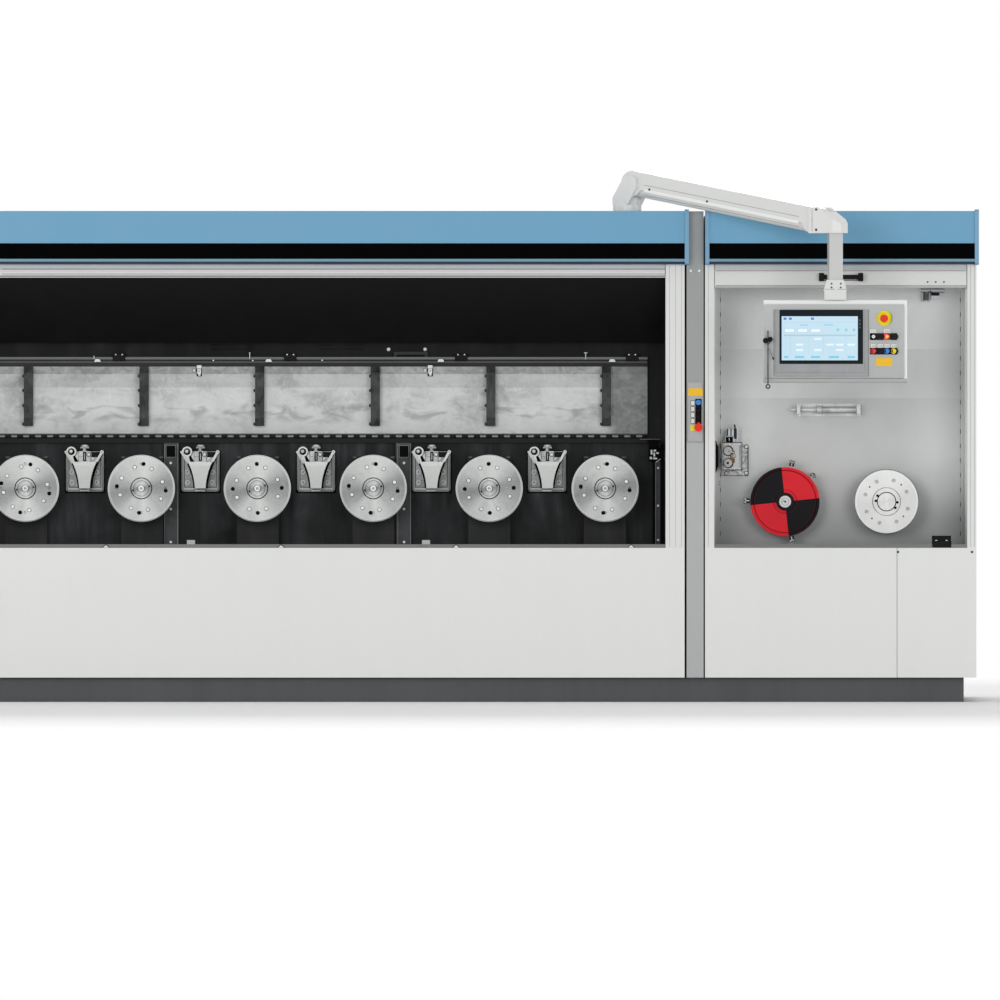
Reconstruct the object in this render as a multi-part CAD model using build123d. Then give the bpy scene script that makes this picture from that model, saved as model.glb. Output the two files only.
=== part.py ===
from build123d import *
import os
from math import cos, radians, sin, sqrt

# Wire drawing machine with a drawing section of six bays and a take-up section beside it.
# Millimetres. X runs along the machine to the right, Y runs from the front to the rear, Z is up.
# The origin is on the floor under the middle of the machine.

# Front layout, from left to right
post_width = 93.0
drawing_opening = 3587.0
module_gap = 10.0
pillar_width = 83.0
pillar_gap = 7.0
stile_width = 45.0
takeup_opening = 1240.0

# Depths, measured from the front face of the posts
machine_depth = 1600.0
post_depth = 60.0
chamber_depth = 430.0
wall_thickness = 30.0
side_wall_thickness = 40.0
lower_panel_thickness = 25.0
rear_door_thickness = 20.0

# Heights above the floor
base_height = 120.0
capstan_height = 1047.0
shelf_drop = 387.0
sill_drop = 292.0
sill_height = 18.0
roof_thickness = 25.0
roof_drop = 20.0

# Fascia
fascia_top = 2405.0
fascia_height = 261.0
fascia_projection = 60.0
stripe_height = 77.0
stripe_drop = 158.0
stripe_recess = 8.0
stripe_thickness = 6.0
lip_projection = 6.0
shadow_strip_height = 13.0
shadow_strip_recess = 24.0
cap_width = 20.0
cap_margin = 8.0
cap_drop = 2.0
cap_corner = 8.0
band_thickness = 10.0

# Base frame
base_beam_width = 100.0
base_inset = 60.0
cross_member_count = 5

# Parked lifting doors
drawing_rail_height = 64.0
takeup_rail_height = 114.0
door_rail_depth = 40.0
door_rail_setback = 5.0
door_rail_side_gap = 3.0
drawing_groove_drops = (18.0, 41.0)
takeup_groove_drops = (34.0, 102.0)
groove_height = 4.0
groove_depth = 3.0
door_handle_length = 216.0
door_handle_bar = 22.0
door_handle_reach = 45.0
door_handle_corner = 4.0
door_handle_shift = 1.5
door_handle_drop = 62.0

# Rear doors and lower front panels
rear_door_count = 6
rear_door_gap = 6.0
rear_door_margin = 30.0
rear_door_chamfer = 4.0
takeup_rear_door_count = 2
panel_split_offset = 940.5
panel_joint = 3.0

# Drawing chamber
bay_count = 6
first_capstan_inset = 442.5
last_capstan_inset = 294.5
trough_floor = 40.0
trough_lip = 15.0
hood_edge_rise = 466.0
hood_edge_depth = 60.0
hood_mouth_drop = 57.0
vent_slot_length = 212.0
vent_slot_height = 9.0
vent_slot_depth = 12.0
vent_slot_drops = (20.0, 40.0)
vent_slot_offsets = (1453.5, 1991.5)

# Capstans
capstan_radius = 165.0
capstan_face_thickness = 14.0
capstan_rim = 6.0
drum_radius = 150.0
drum_length = 116.0
back_flange_radius = 162.0
back_flange_thickness = 15.0
capstan_standoff = 15.0
hub_ring_radius = 48.0
hub_ring_height = 7.0
hub_ring_width = 12.0
hub_recess = 2.0
drum_fillet = 12.0
flange_rise = 6.0
hub_bolt_radius = 16.0
hub_bolt_height = 12.0
capstan_hole_radius = 8.0
capstan_hole_circle = 120.0
capstan_hole_count = 4
capstan_hole_depth = 12.0
shaft_radius = 40.0
shaft_seat = 60.0
running_clearance = 0.05
seat_gap = 0.3

# Capstan housings and wall posts
housing_width = 206.0
housing_rise = 158.0
housing_depth = 90.0
housing_shoulder = 8.0
wall_post_width = 70.0
wall_post_depth = 30.0
wall_post_gap = 0.3
wall_post_offset = 144.0
end_post_inset = 32.0
end_post_width = 48.0
post_window_width = 44.0
post_window_height = 56.0
post_window_boss = 14.0

# Die holders, one half a pitch to the left of each capstan
die_plate_width = 187.0
die_plate_height = 200.0
die_plate_thickness = 16.0
die_plate_corner = 15.0
die_plate_chamfer = 10.0
die_plate_rise = 84.0
horn_top_width = 120.0
horn_foot_width = 53.0
horn_waist_width = 68.0
horn_top_rise = 131.0
horn_height = 130.0
horn_waist_share = 0.45
horn_nose = 20.0
horn_shift = 2.0
horn_reach = 150.0
horn_foot_reach = 120.0
horn_arm_width = 14.0
horn_arm_depth = 24.0
horn_arm_setback = 36.0
horn_arm_root = 10.0
clamp_post_width = 20.0
clamp_post_height = 52.0
clamp_half_depth = 30.0
clamp_slot_width = 16.0
clamp_slot_sill = 8.0
clamp_slot_head = 6.0
clamp_knob_length = 42.0
clamp_knob_radius = 5.0
clamp_stem_radius = 4.0
clamp_stem_length = 18.0
clamp_box_width = 31.0
clamp_box_height = 45.0
clamp_box_setback = 22.0
eye_radius = 25.0
eye_bore = 17.0
eye_offset = 63.0
eye_rise = 50.0
lever_offset = 88.0
lever_rise = 49.0
lever_ball_radius = 8.5

# Tilt cover
hinge_rise = 256.0
hinge_setback = 24.0
knuckle_radius = 9.0
hinge_pin_radius = 4.0
knuckle_length = 28.5
knuckle_clearance = 1.15
hinge_leaf_height = 22.0
hinge_leaf_thickness = 4.0
hinge_foot_thickness = 6.0
cover_left_inset = 38.5
cover_right_inset = 84.5
cover_sheet_height = 345.0
cover_sheet_thickness = 4.0
rib_width = 45.0
rib_depth = 52.0
rib_height = 293.0
rib_shift = 8.0
rib_low_slope = (18.0, 40.0)
rib_top_slope = (20.0, 30.0)
edge_rail_height = 12.0
edge_rail_depth = 30.0
edge_rail_rise = 35.0
grab_length = 167.0
grab_bar = 14.0
grab_rise = 26.0
grab_offset = 2335.5

# Take-up chamber
takeup_axis_drop = 65.0
sheave_offset = 354.5
sheave_radius = 170.0
sheave_lip = 12.0
sheave_lip_slope = 6.0
sheave_rim = 6.0
sheave_groove_floor = 6.0
sheave_dish_depth = 10.0
sheave_width = 60.0
sheave_groove_depth = 16.0
sheave_hub_radius = 47.0
sheave_hub_height = 14.0
sheave_cap_radius = 30.0
sheave_cap_height = 10.0
sheave_standoff = 70.0
sheave_boss_radius = 62.0
pull_offset = 852.5
pull_radius = 157.0
pull_drum_radius = 146.0
pull_drum_length = 90.0
pull_face_thickness = 14.0
pull_rim = 4.0
pull_flange_thickness = 12.0
pull_standoff = 70.0
pull_boss_radius = 80.0
pull_hole_circle = 53.0
pull_hole_radius = 7.0
pull_groove_circle = 68.0
pull_groove_width = 6.0
pull_groove_depth = 3.0
pull_hole_angles = (146.6, 176.0, -4.0, -35.0)
pull_hole_depth = 10.0
liner_thickness = 12.0
liner_flange_width = 20.0
liner_flange_thickness = 12.0

# Wire passage between the two sections
passage_rise = 71.0
passage_height = 166.0
passage_reach = 200.0
passage_width = 70.0

# Wire entry: roller block, fittings and wire guide tube
block_offset = 44.5
block_width = 94.0
block_rise = 90.0
block_height = 135.0
block_reach = 110.0
block_plate_drop = 25.0
block_plate_width = 129.0
block_plate_height = 145.0
block_plate_thickness = 10.0
roller_radius = 19.5
roller_length = 26.0
roller_pin_radius = 5.0
roller_groove_depth = 3.0
roller_groove_width = 8.0
roller_inset = 29.0
roller_rises = (95.0, 35.0)
roller_cavity_radius = 27.0
roller_cavity_depth = 30.0
roller_channel_width = 22.0
roller_channel_overlap = 16.0
plug_width = 48.0
plug_height = 27.0
plug_depth = 40.0
plug_shift = 6.0
fitting_radius = 7.0
fitting_height = 42.0
fitting_spacing = 18.0
valve_radius = 7.0
valve_height = 66.0
valve_gap = 2.0
valve_arm_depth = 8.0
valve_arm_rise = 8.0
tube_plate_offset = 408.5
tube_plate_length = 321.0
tube_plate_height = 62.0
tube_plate_thickness = 8.0
tube_axis_rise = 388.0
tube_axis_reach = 60.0
tube_body_radius = 16.0
tube_body_length = 164.0
tube_collar_radius = 20.0
tube_collar_length = 32.0
tube_rod_radius = 11.0
tube_rod_length = 104.0
tube_tip_length = 30.0
tube_tip_radius = 3.0
tube_clamp_width = 18.0
tube_clamp_height = 46.0
tube_clamp_inset = 4.0

# Small pieces in the take-up chamber
bracket_inset = 171.5
bracket_length = 94.0
bracket_height = 42.0
bracket_depth = 50.0
bracket_thickness = 8.0
sensor_inset = 213.5
sensor_width = 117.0
sensor_height = 61.0
sensor_depth = 60.0
sensor_plate = 8.0
sensor_barrel_radius = 20.0
sensor_barrel_inset = 24.0
sensor_box_inset = 52.0
sensor_box_width = 40.0
sensor_box_depth = 36.0
sensor_box_height = 48.0
guard_radius = 7.0
guard_clearance = 12.0
guard_angles = (80.0, 178.0, -80.0, 44.0)
guard_head_radius = 11.0
guard_head_height = 12.0
guard_overhang = 5.0

# Pillar controls
control_plate_low = 1275.0
control_plate_height = 290.0
control_plate_width = 74.0
control_plate_thickness = 4.0
control_plate_corner = 4.0
pillar_button_radius = 13.0
pillar_button_height = 14.0
pillar_button_heights = (1468.0, 1436.0, 1406.0, 1377.0)
pillar_stop_height = 1345.0
pillar_stop_radius = 20.0
pillar_stop_reach = 34.0
stop_head_height = 12.0
stop_stem_share = 0.6
pillar_button_offset = 16.0

# Support arm, in its own upright plane: reach is measured from the swivel axis
arm_base_inset = 280.5
arm_base_setback = 80.0
arm_turn = -35.0
arm_reach = 1222.0
arm_base_radius = 70.0
arm_base_rise = 52.0
turret_radius = 55.0
turret_rise = 35.0
fork_inset = 10.0
fork_thickness = 12.0
fork_reach = 34.0
fork_rise = 40.0
fork_chamfer = 20.0
arm_width = 100.0
arm_height = 84.0
arm_belly_radius = 40.0
arm_pin_radius = 10.0
lift_pin_reach = 60.0
lift_pin_rise = 136.0
head_pin_reach = 1124.0
arm_drop = 195.0
arm_end_gap = 5.0
head_low_reach = 1106.0
head_top_length = 54.0
head_length = 170.0
head_corner = 30.0
head_height = 126.0
head_nose_height = 46.0
head_wall = 9.0
head_pin_rise = 62.0
drop_tube_width = 66.0
drop_tube_depth = 60.0
drop_tube_length = 227.0
drop_tube_turn = 43.0
coupling_width = 114.0
coupling_depth = 84.0
coupling_height = 97.0
coupling_neck = 52.0
coupling_flare = 8.0
coupling_foot_inset = 4.0
swivel_pin_radius = 20.0
swivel_pin_length = 60.0

# Operator panel
panel_width = 695.0
panel_height = 402.0
panel_depth = 95.0
panel_corner = 22.0
front_plate_width = 681.0
front_plate_height = 360.0
front_plate_depth = 14.0
front_plate_corner = 6.0
display_low = 51.0
display_width = 455.0
display_height = 325.0
display_drop = 26.0
display_depth = 8.0
display_corner = 6.0
glass_margin = 26.0
glass_height = 261.0
glass_foot = 62.0
glass_proud = 1.0
button_radius = 13.5
button_height = 14.0
button_pitch = 33.0
button_column = 539.0
button_row = 157.0
button_row_pitch = 70.0
stop_collar_radius = 35.0
stop_collar_height = 5.0
stop_radius = 20.0
stop_reach = 32.0
stop_column = 587.0
stop_drop = 68.0
hook_knob_radius = 15.0
hook_knob_reach = 26.0
hook_wire = 3.5
hook_length = 262.0
hook_column = 20.0
hook_drop = 178.0
hook_end_rise = 50.0
hook_pin_radius = 5.0
hook_ring_radius = 9.0

# Values that follow from the ones above
module_width = post_width * 2 + drawing_opening
takeup_width = stile_width * 2 + takeup_opening
total_width = module_width + module_gap + pillar_width + pillar_gap + takeup_width
fascia_low = fascia_top - fascia_height
roof_top = fascia_top - roof_drop
roof_underside = roof_top - roof_thickness
housing_shelf = capstan_height - shelf_drop
sill_underside = capstan_height - sill_drop
sill_top = sill_underside + sill_height
x_left = -total_width / 2
x_draw_low = x_left + post_width
x_draw_high = x_draw_low + drawing_opening
x_draw_end = x_draw_high + post_width
x_pillar_low = x_draw_end + module_gap
x_pillar_high = x_pillar_low + pillar_width
x_take_start = x_pillar_high + pillar_gap
x_take_low = x_take_start + stile_width
x_take_high = x_take_low + takeup_opening
x_right = x_take_high + stile_width
y_front = -machine_depth / 2
y_rear = machine_depth / 2
y_post_back = y_front + post_depth
y_panel_back = y_front + lower_panel_thickness
y_wall = y_front + chamber_depth
y_wall_back = y_wall + wall_thickness
trough_top = housing_shelf + trough_floor
hinge_height = capstan_height + hinge_rise
hood_edge_height = hinge_height + hood_edge_rise
hood_mouth_height = fascia_low - hood_mouth_drop
horn_top_height = capstan_height + horn_top_rise
horn_foot_height = horn_top_height - horn_height
eye_height = horn_top_height + eye_rise
takeup_axis_height = capstan_height - takeup_axis_drop
passage_low = capstan_height + passage_rise
passage_y = y_wall - passage_reach
block_low_x = x_take_low + block_offset
block_low_z = capstan_height + block_rise
roller_x = block_low_x + roller_inset
roller_heights = [block_low_z + rise for rise in roller_rises]
tube_axis_height = capstan_height + tube_axis_rise
sheave_x = x_take_low + sheave_offset
pull_x = x_take_low + pull_offset
cover_left_x = x_draw_low + cover_left_inset
cover_right_x = x_draw_high - cover_right_inset
arm_base_x = x_draw_end - arm_base_inset
arm_base_y = y_front + arm_base_setback
lift_pin_height = fascia_top + lift_pin_rise
head_pin_height = lift_pin_height - arm_drop
head_lower = head_pin_height - head_pin_rise
drop_tube_end = head_lower - drop_tube_length
bay_pitch = (drawing_opening - first_capstan_inset - last_capstan_inset) / (bay_count - 1)
first_capstan_x = x_draw_low + first_capstan_inset
capstan_xs = [first_capstan_x + bay_pitch * bay for bay in range(bay_count)]
die_xs = [x - bay_pitch / 2 for x in capstan_xs]


def slab(x_low, x_high, y_low, y_high, z_low, z_high):
    """Straight block between two corners."""
    size = (x_high - x_low, y_high - y_low, z_high - z_low)
    centre = ((x_low + x_high) / 2, (y_low + y_high) / 2, (z_low + z_high) / 2)
    return Pos(*centre) * Box(*size)


def prism_x(points, x_low, x_high):
    """Prism of a (y, z) outline from one x station to another."""
    face = make_face(Plane.YZ * Polyline(*points, close=True))
    return Pos(x_low, 0, 0) * extrude(face, x_high - x_low, dir=(1, 0, 0))


def prism_y(points, y_low, y_high):
    """Prism of an (x, z) outline from one y station to another."""
    outline = Polyline(*[(x, y_low, z) for x, z in points], close=True)
    return extrude(make_face(outline), y_high - y_low, dir=(0, 1, 0))


def plate_y(width, height, y_low, y_high, x, z, corner):
    """Upright plate with rounded corners, facing the front."""
    plane = Plane((x, y_high, z), x_dir=(1, 0, 0), z_dir=(0, -1, 0))
    return extrude(plane * RectangleRounded(width, height, corner), y_high - y_low)


def rod_y(radius, y_low, y_high, x, z):
    """Round bar along Y."""
    return Pos(x, (y_low + y_high) / 2, z) * Rot(90, 0, 0) * Cylinder(radius, y_high - y_low)


def rod_x(radius, x_low, x_high, y, z):
    """Round bar along X."""
    return Pos((x_low + x_high) / 2, y, z) * Rot(0, 90, 0) * Cylinder(radius, x_high - x_low)


def rod_z(radius, z_low, z_high, x, y):
    """Round bar along Z."""
    return Pos(x, y, (z_low + z_high) / 2) * Cylinder(radius, z_high - z_low)


def turned(points, x, z):
    """Body of revolution about a Y axis through x and z, from (radius, y) points."""
    face = make_face(Polyline(*points, close=True))
    return Pos(x, 0, z) * revolve(face, Axis.Y, 360)


def write(name, *shapes):
    """Writes the solids of one named piece to its own file."""
    solids = [solid for shape in shapes for solid in shape.solids()]
    node = solids[0] if len(solids) == 1 else Compound(solids)
    node.label = name
    export_step(node, f"parts/{name}.step")


def base_frame():
    """Welded skid: two long beams and cross members, flat on the floor."""
    low_x = x_left + base_inset
    high_x = x_right - base_inset
    low_y = y_front + base_inset
    high_y = y_rear - base_inset
    frame = slab(low_x, high_x, low_y, low_y + base_beam_width, 0, base_height)
    frame += slab(low_x, high_x, high_y - base_beam_width, high_y, 0, base_height)
    step = (high_x - low_x - base_beam_width) / (cross_member_count - 1)
    for index in range(cross_member_count):
        x = low_x + step * index
        frame += slab(x, x + base_beam_width, low_y, high_y, 0, base_height)
    return frame


def housing_outline():
    """Closed housing behind and below a chamber, as (y, z) points."""
    return [
        (y_panel_back, base_height),
        (y_rear, base_height),
        (y_rear, roof_underside),
        (y_wall_back, roof_underside),
        (y_wall_back, housing_shelf),
        (y_panel_back, housing_shelf),
    ]


def drive_housings():
    """Closed drive compartments of the two sections."""
    inner = side_wall_thickness
    left = prism_x(housing_outline(), x_left + inner, x_draw_end - inner)
    right = prism_x(housing_outline(), x_take_start + inner, x_right - inner)
    return left, right


def wire_passage(x_low, x_high):
    """Upright slot through the walls that the wire crosses."""
    half = passage_width / 2
    high = passage_low + passage_height
    return slab(x_low, x_high, passage_y - half, passage_y + half, passage_low, high)


def side_walls():
    """Four outer walls, the middle two with the wire passage."""
    outline = [
        (y_panel_back, base_height),
        (y_rear, base_height),
        (y_rear, roof_underside),
        (y_post_back, roof_underside),
        (y_post_back, sill_underside),
        (y_panel_back, sill_underside),
    ]
    walls = []
    for low in (x_left, x_draw_end - side_wall_thickness, x_take_start, x_right - side_wall_thickness):
        high = low + side_wall_thickness
        wall = prism_x(outline, low, high)
        if x_left < low < x_right - side_wall_thickness:
            wall -= wire_passage(low - 1, high + 1)
        walls.append(wall)
    return walls


def roof_panels():
    """Flat roof of each section."""
    left = slab(x_left, x_draw_end, y_post_back, y_rear, roof_underside, roof_top)
    right = slab(x_take_start, x_right, y_post_back, y_rear, roof_underside, roof_top)
    return left, right


def rear_doors():
    """Plain closed service doors on the rear."""
    doors = []
    runs = ((x_left, x_draw_end, rear_door_count), (x_take_start, x_right, takeup_rear_door_count))
    for low, high, count in runs:
        pitch = (high - low - 2 * rear_door_margin + rear_door_gap) / count
        for index in range(count):
            x = low + rear_door_margin + pitch * index
            door = slab(
                x,
                x + pitch - rear_door_gap,
                y_rear,
                y_rear + rear_door_thickness,
                base_height + rear_door_margin,
                fascia_low - rear_door_margin,
            )
            doors.append(chamfer(door.faces().sort_by(Axis.Y)[-1].edges(), rear_door_chamfer))
    return doors


def lower_front_panels():
    """White panels below the sills."""
    split = x_take_start + panel_split_offset
    rows = ((x_left, x_draw_end), (x_take_start, split), (split + panel_joint, x_right))
    return [slab(low, high, y_front, y_panel_back, base_height, sill_underside) for low, high in rows]


def front_posts():
    """Posts and stiles beside the two openings."""
    rows = (
        (x_left, x_draw_low),
        (x_draw_high, x_draw_end),
        (x_take_start, x_take_low),
        (x_take_high, x_right),
    )
    return [slab(low, high, y_front, y_post_back, sill_underside, roof_top) for low, high in rows]


def front_sills():
    """Grey sill strips under the two openings."""
    rows = ((x_draw_low, x_draw_high), (x_take_low, x_take_high))
    return [slab(low, high, y_front, y_post_back, sill_underside, sill_top) for low, high in rows]


def front_headers():
    """Header beams behind the fascia."""
    low_z = fascia_low
    rows = ((x_draw_low, x_draw_high), (x_take_low, x_take_high))
    return [slab(low, high, y_front, y_post_back, low_z, roof_top) for low, high in rows]


def door_rails():
    """Bottom rails of the two parked lifting doors, with drawn grooves."""
    rails = []
    y_low = y_front + door_rail_setback
    y_high = y_low + door_rail_depth
    rows = (
        (x_draw_low, x_draw_high, drawing_rail_height, drawing_groove_drops),
        (x_take_low, x_take_high, takeup_rail_height, takeup_groove_drops),
    )
    for low, high, height, grooves in rows:
        low += door_rail_side_gap
        high -= door_rail_side_gap
        rail = slab(low, high, y_low, y_high, fascia_low - height, fascia_low)
        for drop in grooves:
            z = fascia_low - drop
            rail -= slab(low - 1, high + 1, y_low - 1, y_low + groove_depth, z - groove_height, z)
        rails.append(rail)
    return rails


def door_handle():
    """Black bail handle on the take-up door's bottom rail."""
    y_rail = y_front + door_rail_setback
    y_bar = y_rail - door_handle_reach
    z = fascia_low - door_handle_drop
    centre = (x_take_low + x_take_high) / 2 + door_handle_shift
    low = centre - door_handle_length / 2
    high = centre + door_handle_length / 2
    half = door_handle_bar / 2
    handle = slab(low, high, y_bar, y_bar + door_handle_bar, z - half, z + half)
    handle += slab(low, low + door_handle_bar, y_bar, y_rail, z - half, z + half)
    handle += slab(high - door_handle_bar, high, y_bar, y_rail, z - half, z + half)
    return fillet(handle.edges().filter_by(Axis.Y), door_handle_corner)


def fascia_outline():
    """Blue fascia in section: top face, stripe groove, lip and shaded underside."""
    y_face = y_front - fascia_projection
    y_groove = y_face + stripe_recess
    y_lip = y_face - lip_projection
    stripe_top = fascia_top - stripe_drop
    stripe_low = stripe_top - stripe_height
    lip_low = fascia_low + shadow_strip_height
    return [
        (y_front, fascia_low),
        (y_face + shadow_strip_recess, fascia_low),
        (y_face + shadow_strip_recess, lip_low),
        (y_lip, lip_low),
        (y_lip, stripe_low),
        (y_groove, stripe_low),
        (y_groove, stripe_top),
        (y_face, stripe_top),
        (y_face, fascia_top),
        (y_front, fascia_top),
    ]


def fascia_runs():
    """Start and end of each fascia between its caps."""
    left = (x_left + cap_width / 2, x_draw_end)
    right = (x_take_start + cap_width, x_right - cap_width / 2)
    return left, right


def fascias():
    """Blue fascias of both sections."""
    return [prism_x(fascia_outline(), low, high) for low, high in fascia_runs()]


def fascia_end_caps():
    """Blue end caps, standing a little proud of the fascias."""
    y_low = y_front - fascia_projection - cap_margin
    stations = (x_left - cap_width / 2, x_draw_end, x_take_start, x_right - cap_width / 2)
    caps = []
    for low in stations:
        cap = slab(low, low + cap_width, y_low, y_front, fascia_low - cap_drop, fascia_top + cap_margin)
        front_edges = cap.edges().filter_by(Axis.X).sort_by(Axis.Y)[:2]
        caps.append(fillet(front_edges, cap_corner))
    return caps


def band_outline(outer, inner, groove):
    """Side or rear band in section: outer face, stripe groove and inner face."""
    stripe_top = fascia_top - stripe_drop
    stripe_low = stripe_top - stripe_height
    return [
        (inner, fascia_low),
        (outer, fascia_low),
        (outer, stripe_low),
        (groove, stripe_low),
        (groove, stripe_top),
        (outer, stripe_top),
        (outer, fascia_top),
        (inner, fascia_top),
    ]


def outer_bands():
    """Blue bands that carry the fascia round the sides and the rear."""
    depth = stripe_thickness / 2
    left = band_outline(x_left - band_thickness, x_left, x_left - band_thickness + depth)
    right = band_outline(x_right + band_thickness, x_right, x_right + band_thickness - depth)
    y_high = y_rear + band_thickness
    rear = band_outline(y_high, y_rear, y_high - depth)
    return (
        prism_y(left, y_front, y_high),
        prism_y(right, y_front, y_high),
        prism_x(rear, x_left, x_draw_end),
        prism_x(rear, x_take_start, x_right),
    )


def fascia_stripes():
    """Black stripes seated in the grooves of the fascias and bands."""
    high = fascia_top - stripe_drop
    low = high - stripe_height
    y_groove = y_front - fascia_projection + stripe_recess
    stripes = [slab(a, b, y_groove - stripe_thickness, y_groove, low, high) for a, b in fascia_runs()]
    depth = stripe_thickness / 2
    y_high = y_rear + band_thickness
    for outer, inner in ((x_left - band_thickness, x_left - band_thickness + depth),
                         (x_right + band_thickness - depth, x_right + band_thickness)):
        stripes.append(slab(outer, inner, y_front, y_high, low, high))
    stripes.append(slab(x_left, x_draw_end, y_high - depth, y_high, low, high))
    stripes.append(slab(x_take_start, x_right, y_high - depth, y_high, low, high))
    return stripes


def control_pillar():
    """Grey pillar between the two sections, with the wire passage through it."""
    pillar = slab(x_pillar_low, x_pillar_high, y_front, y_rear, base_height, fascia_top)
    return pillar - wire_passage(x_pillar_low - 1, x_pillar_high + 1)


def chamber_wall():
    """Black back wall of the drawing chamber with its vent slots."""
    wall = slab(x_draw_low, x_draw_high, y_wall, y_wall_back, housing_shelf, roof_underside)
    half = vent_slot_length / 2
    for offset in vent_slot_offsets:
        x = x_draw_low + offset
        for drop in vent_slot_drops:
            z = hood_edge_height - drop
            wall -= slab(x - half, x + half, y_wall - 1, y_wall + vent_slot_depth, z, z + vent_slot_height)
    return wall


def chamber_hood():
    """Black hood that slopes from the mouth of the chamber to its wall."""
    outline = [
        (y_wall, hood_edge_height),
        (y_wall - hood_edge_depth, hood_edge_height),
        (y_post_back, hood_mouth_height),
        (y_post_back, roof_underside),
        (y_wall, roof_underside),
    ]
    return prism_x(outline, x_draw_low, x_draw_high)


def chamber_liners():
    """Black end liners of the drawing chamber, the right one with the wire passage."""
    low = x_left + side_wall_thickness
    left = slab(low, x_draw_low, y_post_back, y_wall_back, housing_shelf, roof_underside)
    low = x_draw_high
    high = x_draw_end - side_wall_thickness
    right = slab(low, high, y_post_back, y_wall_back, housing_shelf, roof_underside)
    return left, right - wire_passage(low - 1, high + 1)


def trough_outline():
    """Trough floor with its front lip, as (y, z) points."""
    return [
        (y_panel_back, housing_shelf),
        (y_wall, housing_shelf),
        (y_wall, trough_top),
        (y_panel_back + trough_lip, trough_top),
        (y_panel_back + trough_lip, sill_underside),
        (y_panel_back, sill_underside),
    ]


def hinge_rail_underside():
    """Height of the underside of the hinge rail on the chamber wall."""
    return hinge_height - knuckle_radius - seat_gap - hinge_leaf_height


def wall_posts():
    """Upright posts on the chamber wall between modules, and at both ends."""
    posts = []
    wall_post_top = hinge_rail_underside() - wall_post_gap
    last = len(capstan_xs) - 1
    spans = [
        (x + wall_post_offset - wall_post_width / 2, x + wall_post_offset + wall_post_width / 2)
        for bay, x in enumerate(capstan_xs)
        if bay % 2 == 1 and bay != last
    ]
    half = end_post_width / 2
    for x in (x_draw_low + end_post_inset, x_draw_high - end_post_inset):
        spans.append((x - half, x + half))
    for low, high in spans:
        post = slab(low, high, y_wall - wall_post_depth, y_wall, trough_top, wall_post_top)
        middle = (low + high) / 2
        window_half = post_window_width / 2
        window_top = wall_post_top - post_window_boss
        post -= slab(
            middle - window_half,
            middle + window_half,
            y_wall - wall_post_depth - 1,
            y_wall - wall_post_depth / 2,
            window_top - post_window_height,
            window_top,
        )
        posts.append(post)
    return posts


def capstan_housings():
    """Bearing housings behind the capstans, each bored for its shaft."""
    housings = []
    half = housing_width / 2
    top = capstan_height + housing_rise
    bore = shaft_radius + running_clearance
    for x in capstan_xs:
        outline = [
            (x - half, trough_top),
            (x + half, trough_top),
            (x + half, top - housing_shoulder),
            (x + half - housing_shoulder, top),
            (x - half + housing_shoulder, top),
            (x - half, top - housing_shoulder),
        ]
        housing = prism_y(outline, y_wall - housing_depth, y_wall)
        y_face = y_wall - housing_depth
        housing -= rod_y(bore, y_face - 1, y_face + shaft_seat, x, capstan_height)
        housings.append(housing)
    return housings


def capstan(x):
    """One drawing capstan: face disc, drum, back flange, hub and shaft in one turned body."""
    y_housing = y_wall - housing_depth
    y_flange = y_housing - capstan_standoff
    y_drum = y_flange - back_flange_thickness
    y_face_back = y_drum - drum_length
    y_face = y_face_back - capstan_face_thickness
    y_ring = y_face - hub_ring_height
    y_bolt = y_ring - hub_bolt_height
    ring_inner = hub_ring_radius - hub_ring_width
    points = [
        (0, y_bolt),
        (hub_bolt_radius, y_bolt),
        (hub_bolt_radius, y_face - hub_recess),
        (ring_inner, y_face - hub_recess),
        (ring_inner, y_ring),
        (hub_ring_radius, y_ring),
        (hub_ring_radius, y_face),
        (capstan_radius - capstan_rim, y_face),
        (capstan_radius, y_face + capstan_rim / 2),
        (capstan_radius, y_face_back),
        (drum_radius, y_face_back + drum_fillet),
        (drum_radius, y_drum - flange_rise),
        (back_flange_radius, y_drum),
        (back_flange_radius, y_flange),
        (shaft_radius, y_flange),
        (shaft_radius, y_housing + shaft_seat - seat_gap),
        (0, y_housing + shaft_seat - seat_gap),
    ]
    body = turned(points, x, capstan_height)
    for index in range(capstan_hole_count):
        angle = radians(360 / capstan_hole_count * index)
        hole_x = x + capstan_hole_circle * cos(angle)
        hole_z = capstan_height + capstan_hole_circle * sin(angle)
        body -= rod_y(capstan_hole_radius, y_face - 1, y_face + capstan_hole_depth, hole_x, hole_z)
    return body


def die_plates():
    """Rounded plates that carry the die holders."""
    y_low = y_wall - die_plate_thickness
    z = capstan_height + die_plate_rise
    plates = []
    for x in die_xs:
        plate = plate_y(die_plate_width, die_plate_height, y_low, y_wall, x, z, die_plate_corner)
        plates.append(chamfer(plate.faces().sort_by(Axis.Y)[0].edges(), die_plate_chamfer))
    return plates


def horn_face(x, y):
    """Front outline of a horn: wide at the top, waisted sides and a narrow foot."""
    centre = x + horn_shift
    top = horn_top_width / 2
    foot = horn_foot_width / 2
    waist = horn_waist_width / 2
    waist_height = horn_foot_height + (horn_top_height - horn_foot_height) * horn_waist_share
    corners = [
        Vector(centre - foot, y, horn_foot_height),
        Vector(centre + foot, y, horn_foot_height),
        Vector(centre + top, y, horn_top_height),
        Vector(centre - top, y, horn_top_height),
    ]
    right = ThreePointArc(corners[1], Vector(centre + waist, y, waist_height), corners[2])
    left = ThreePointArc(corners[3], Vector(centre - waist, y, waist_height), corners[0])
    return make_face([Line(corners[0], corners[1]), right, Line(corners[2], corners[3]), left])


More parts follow.
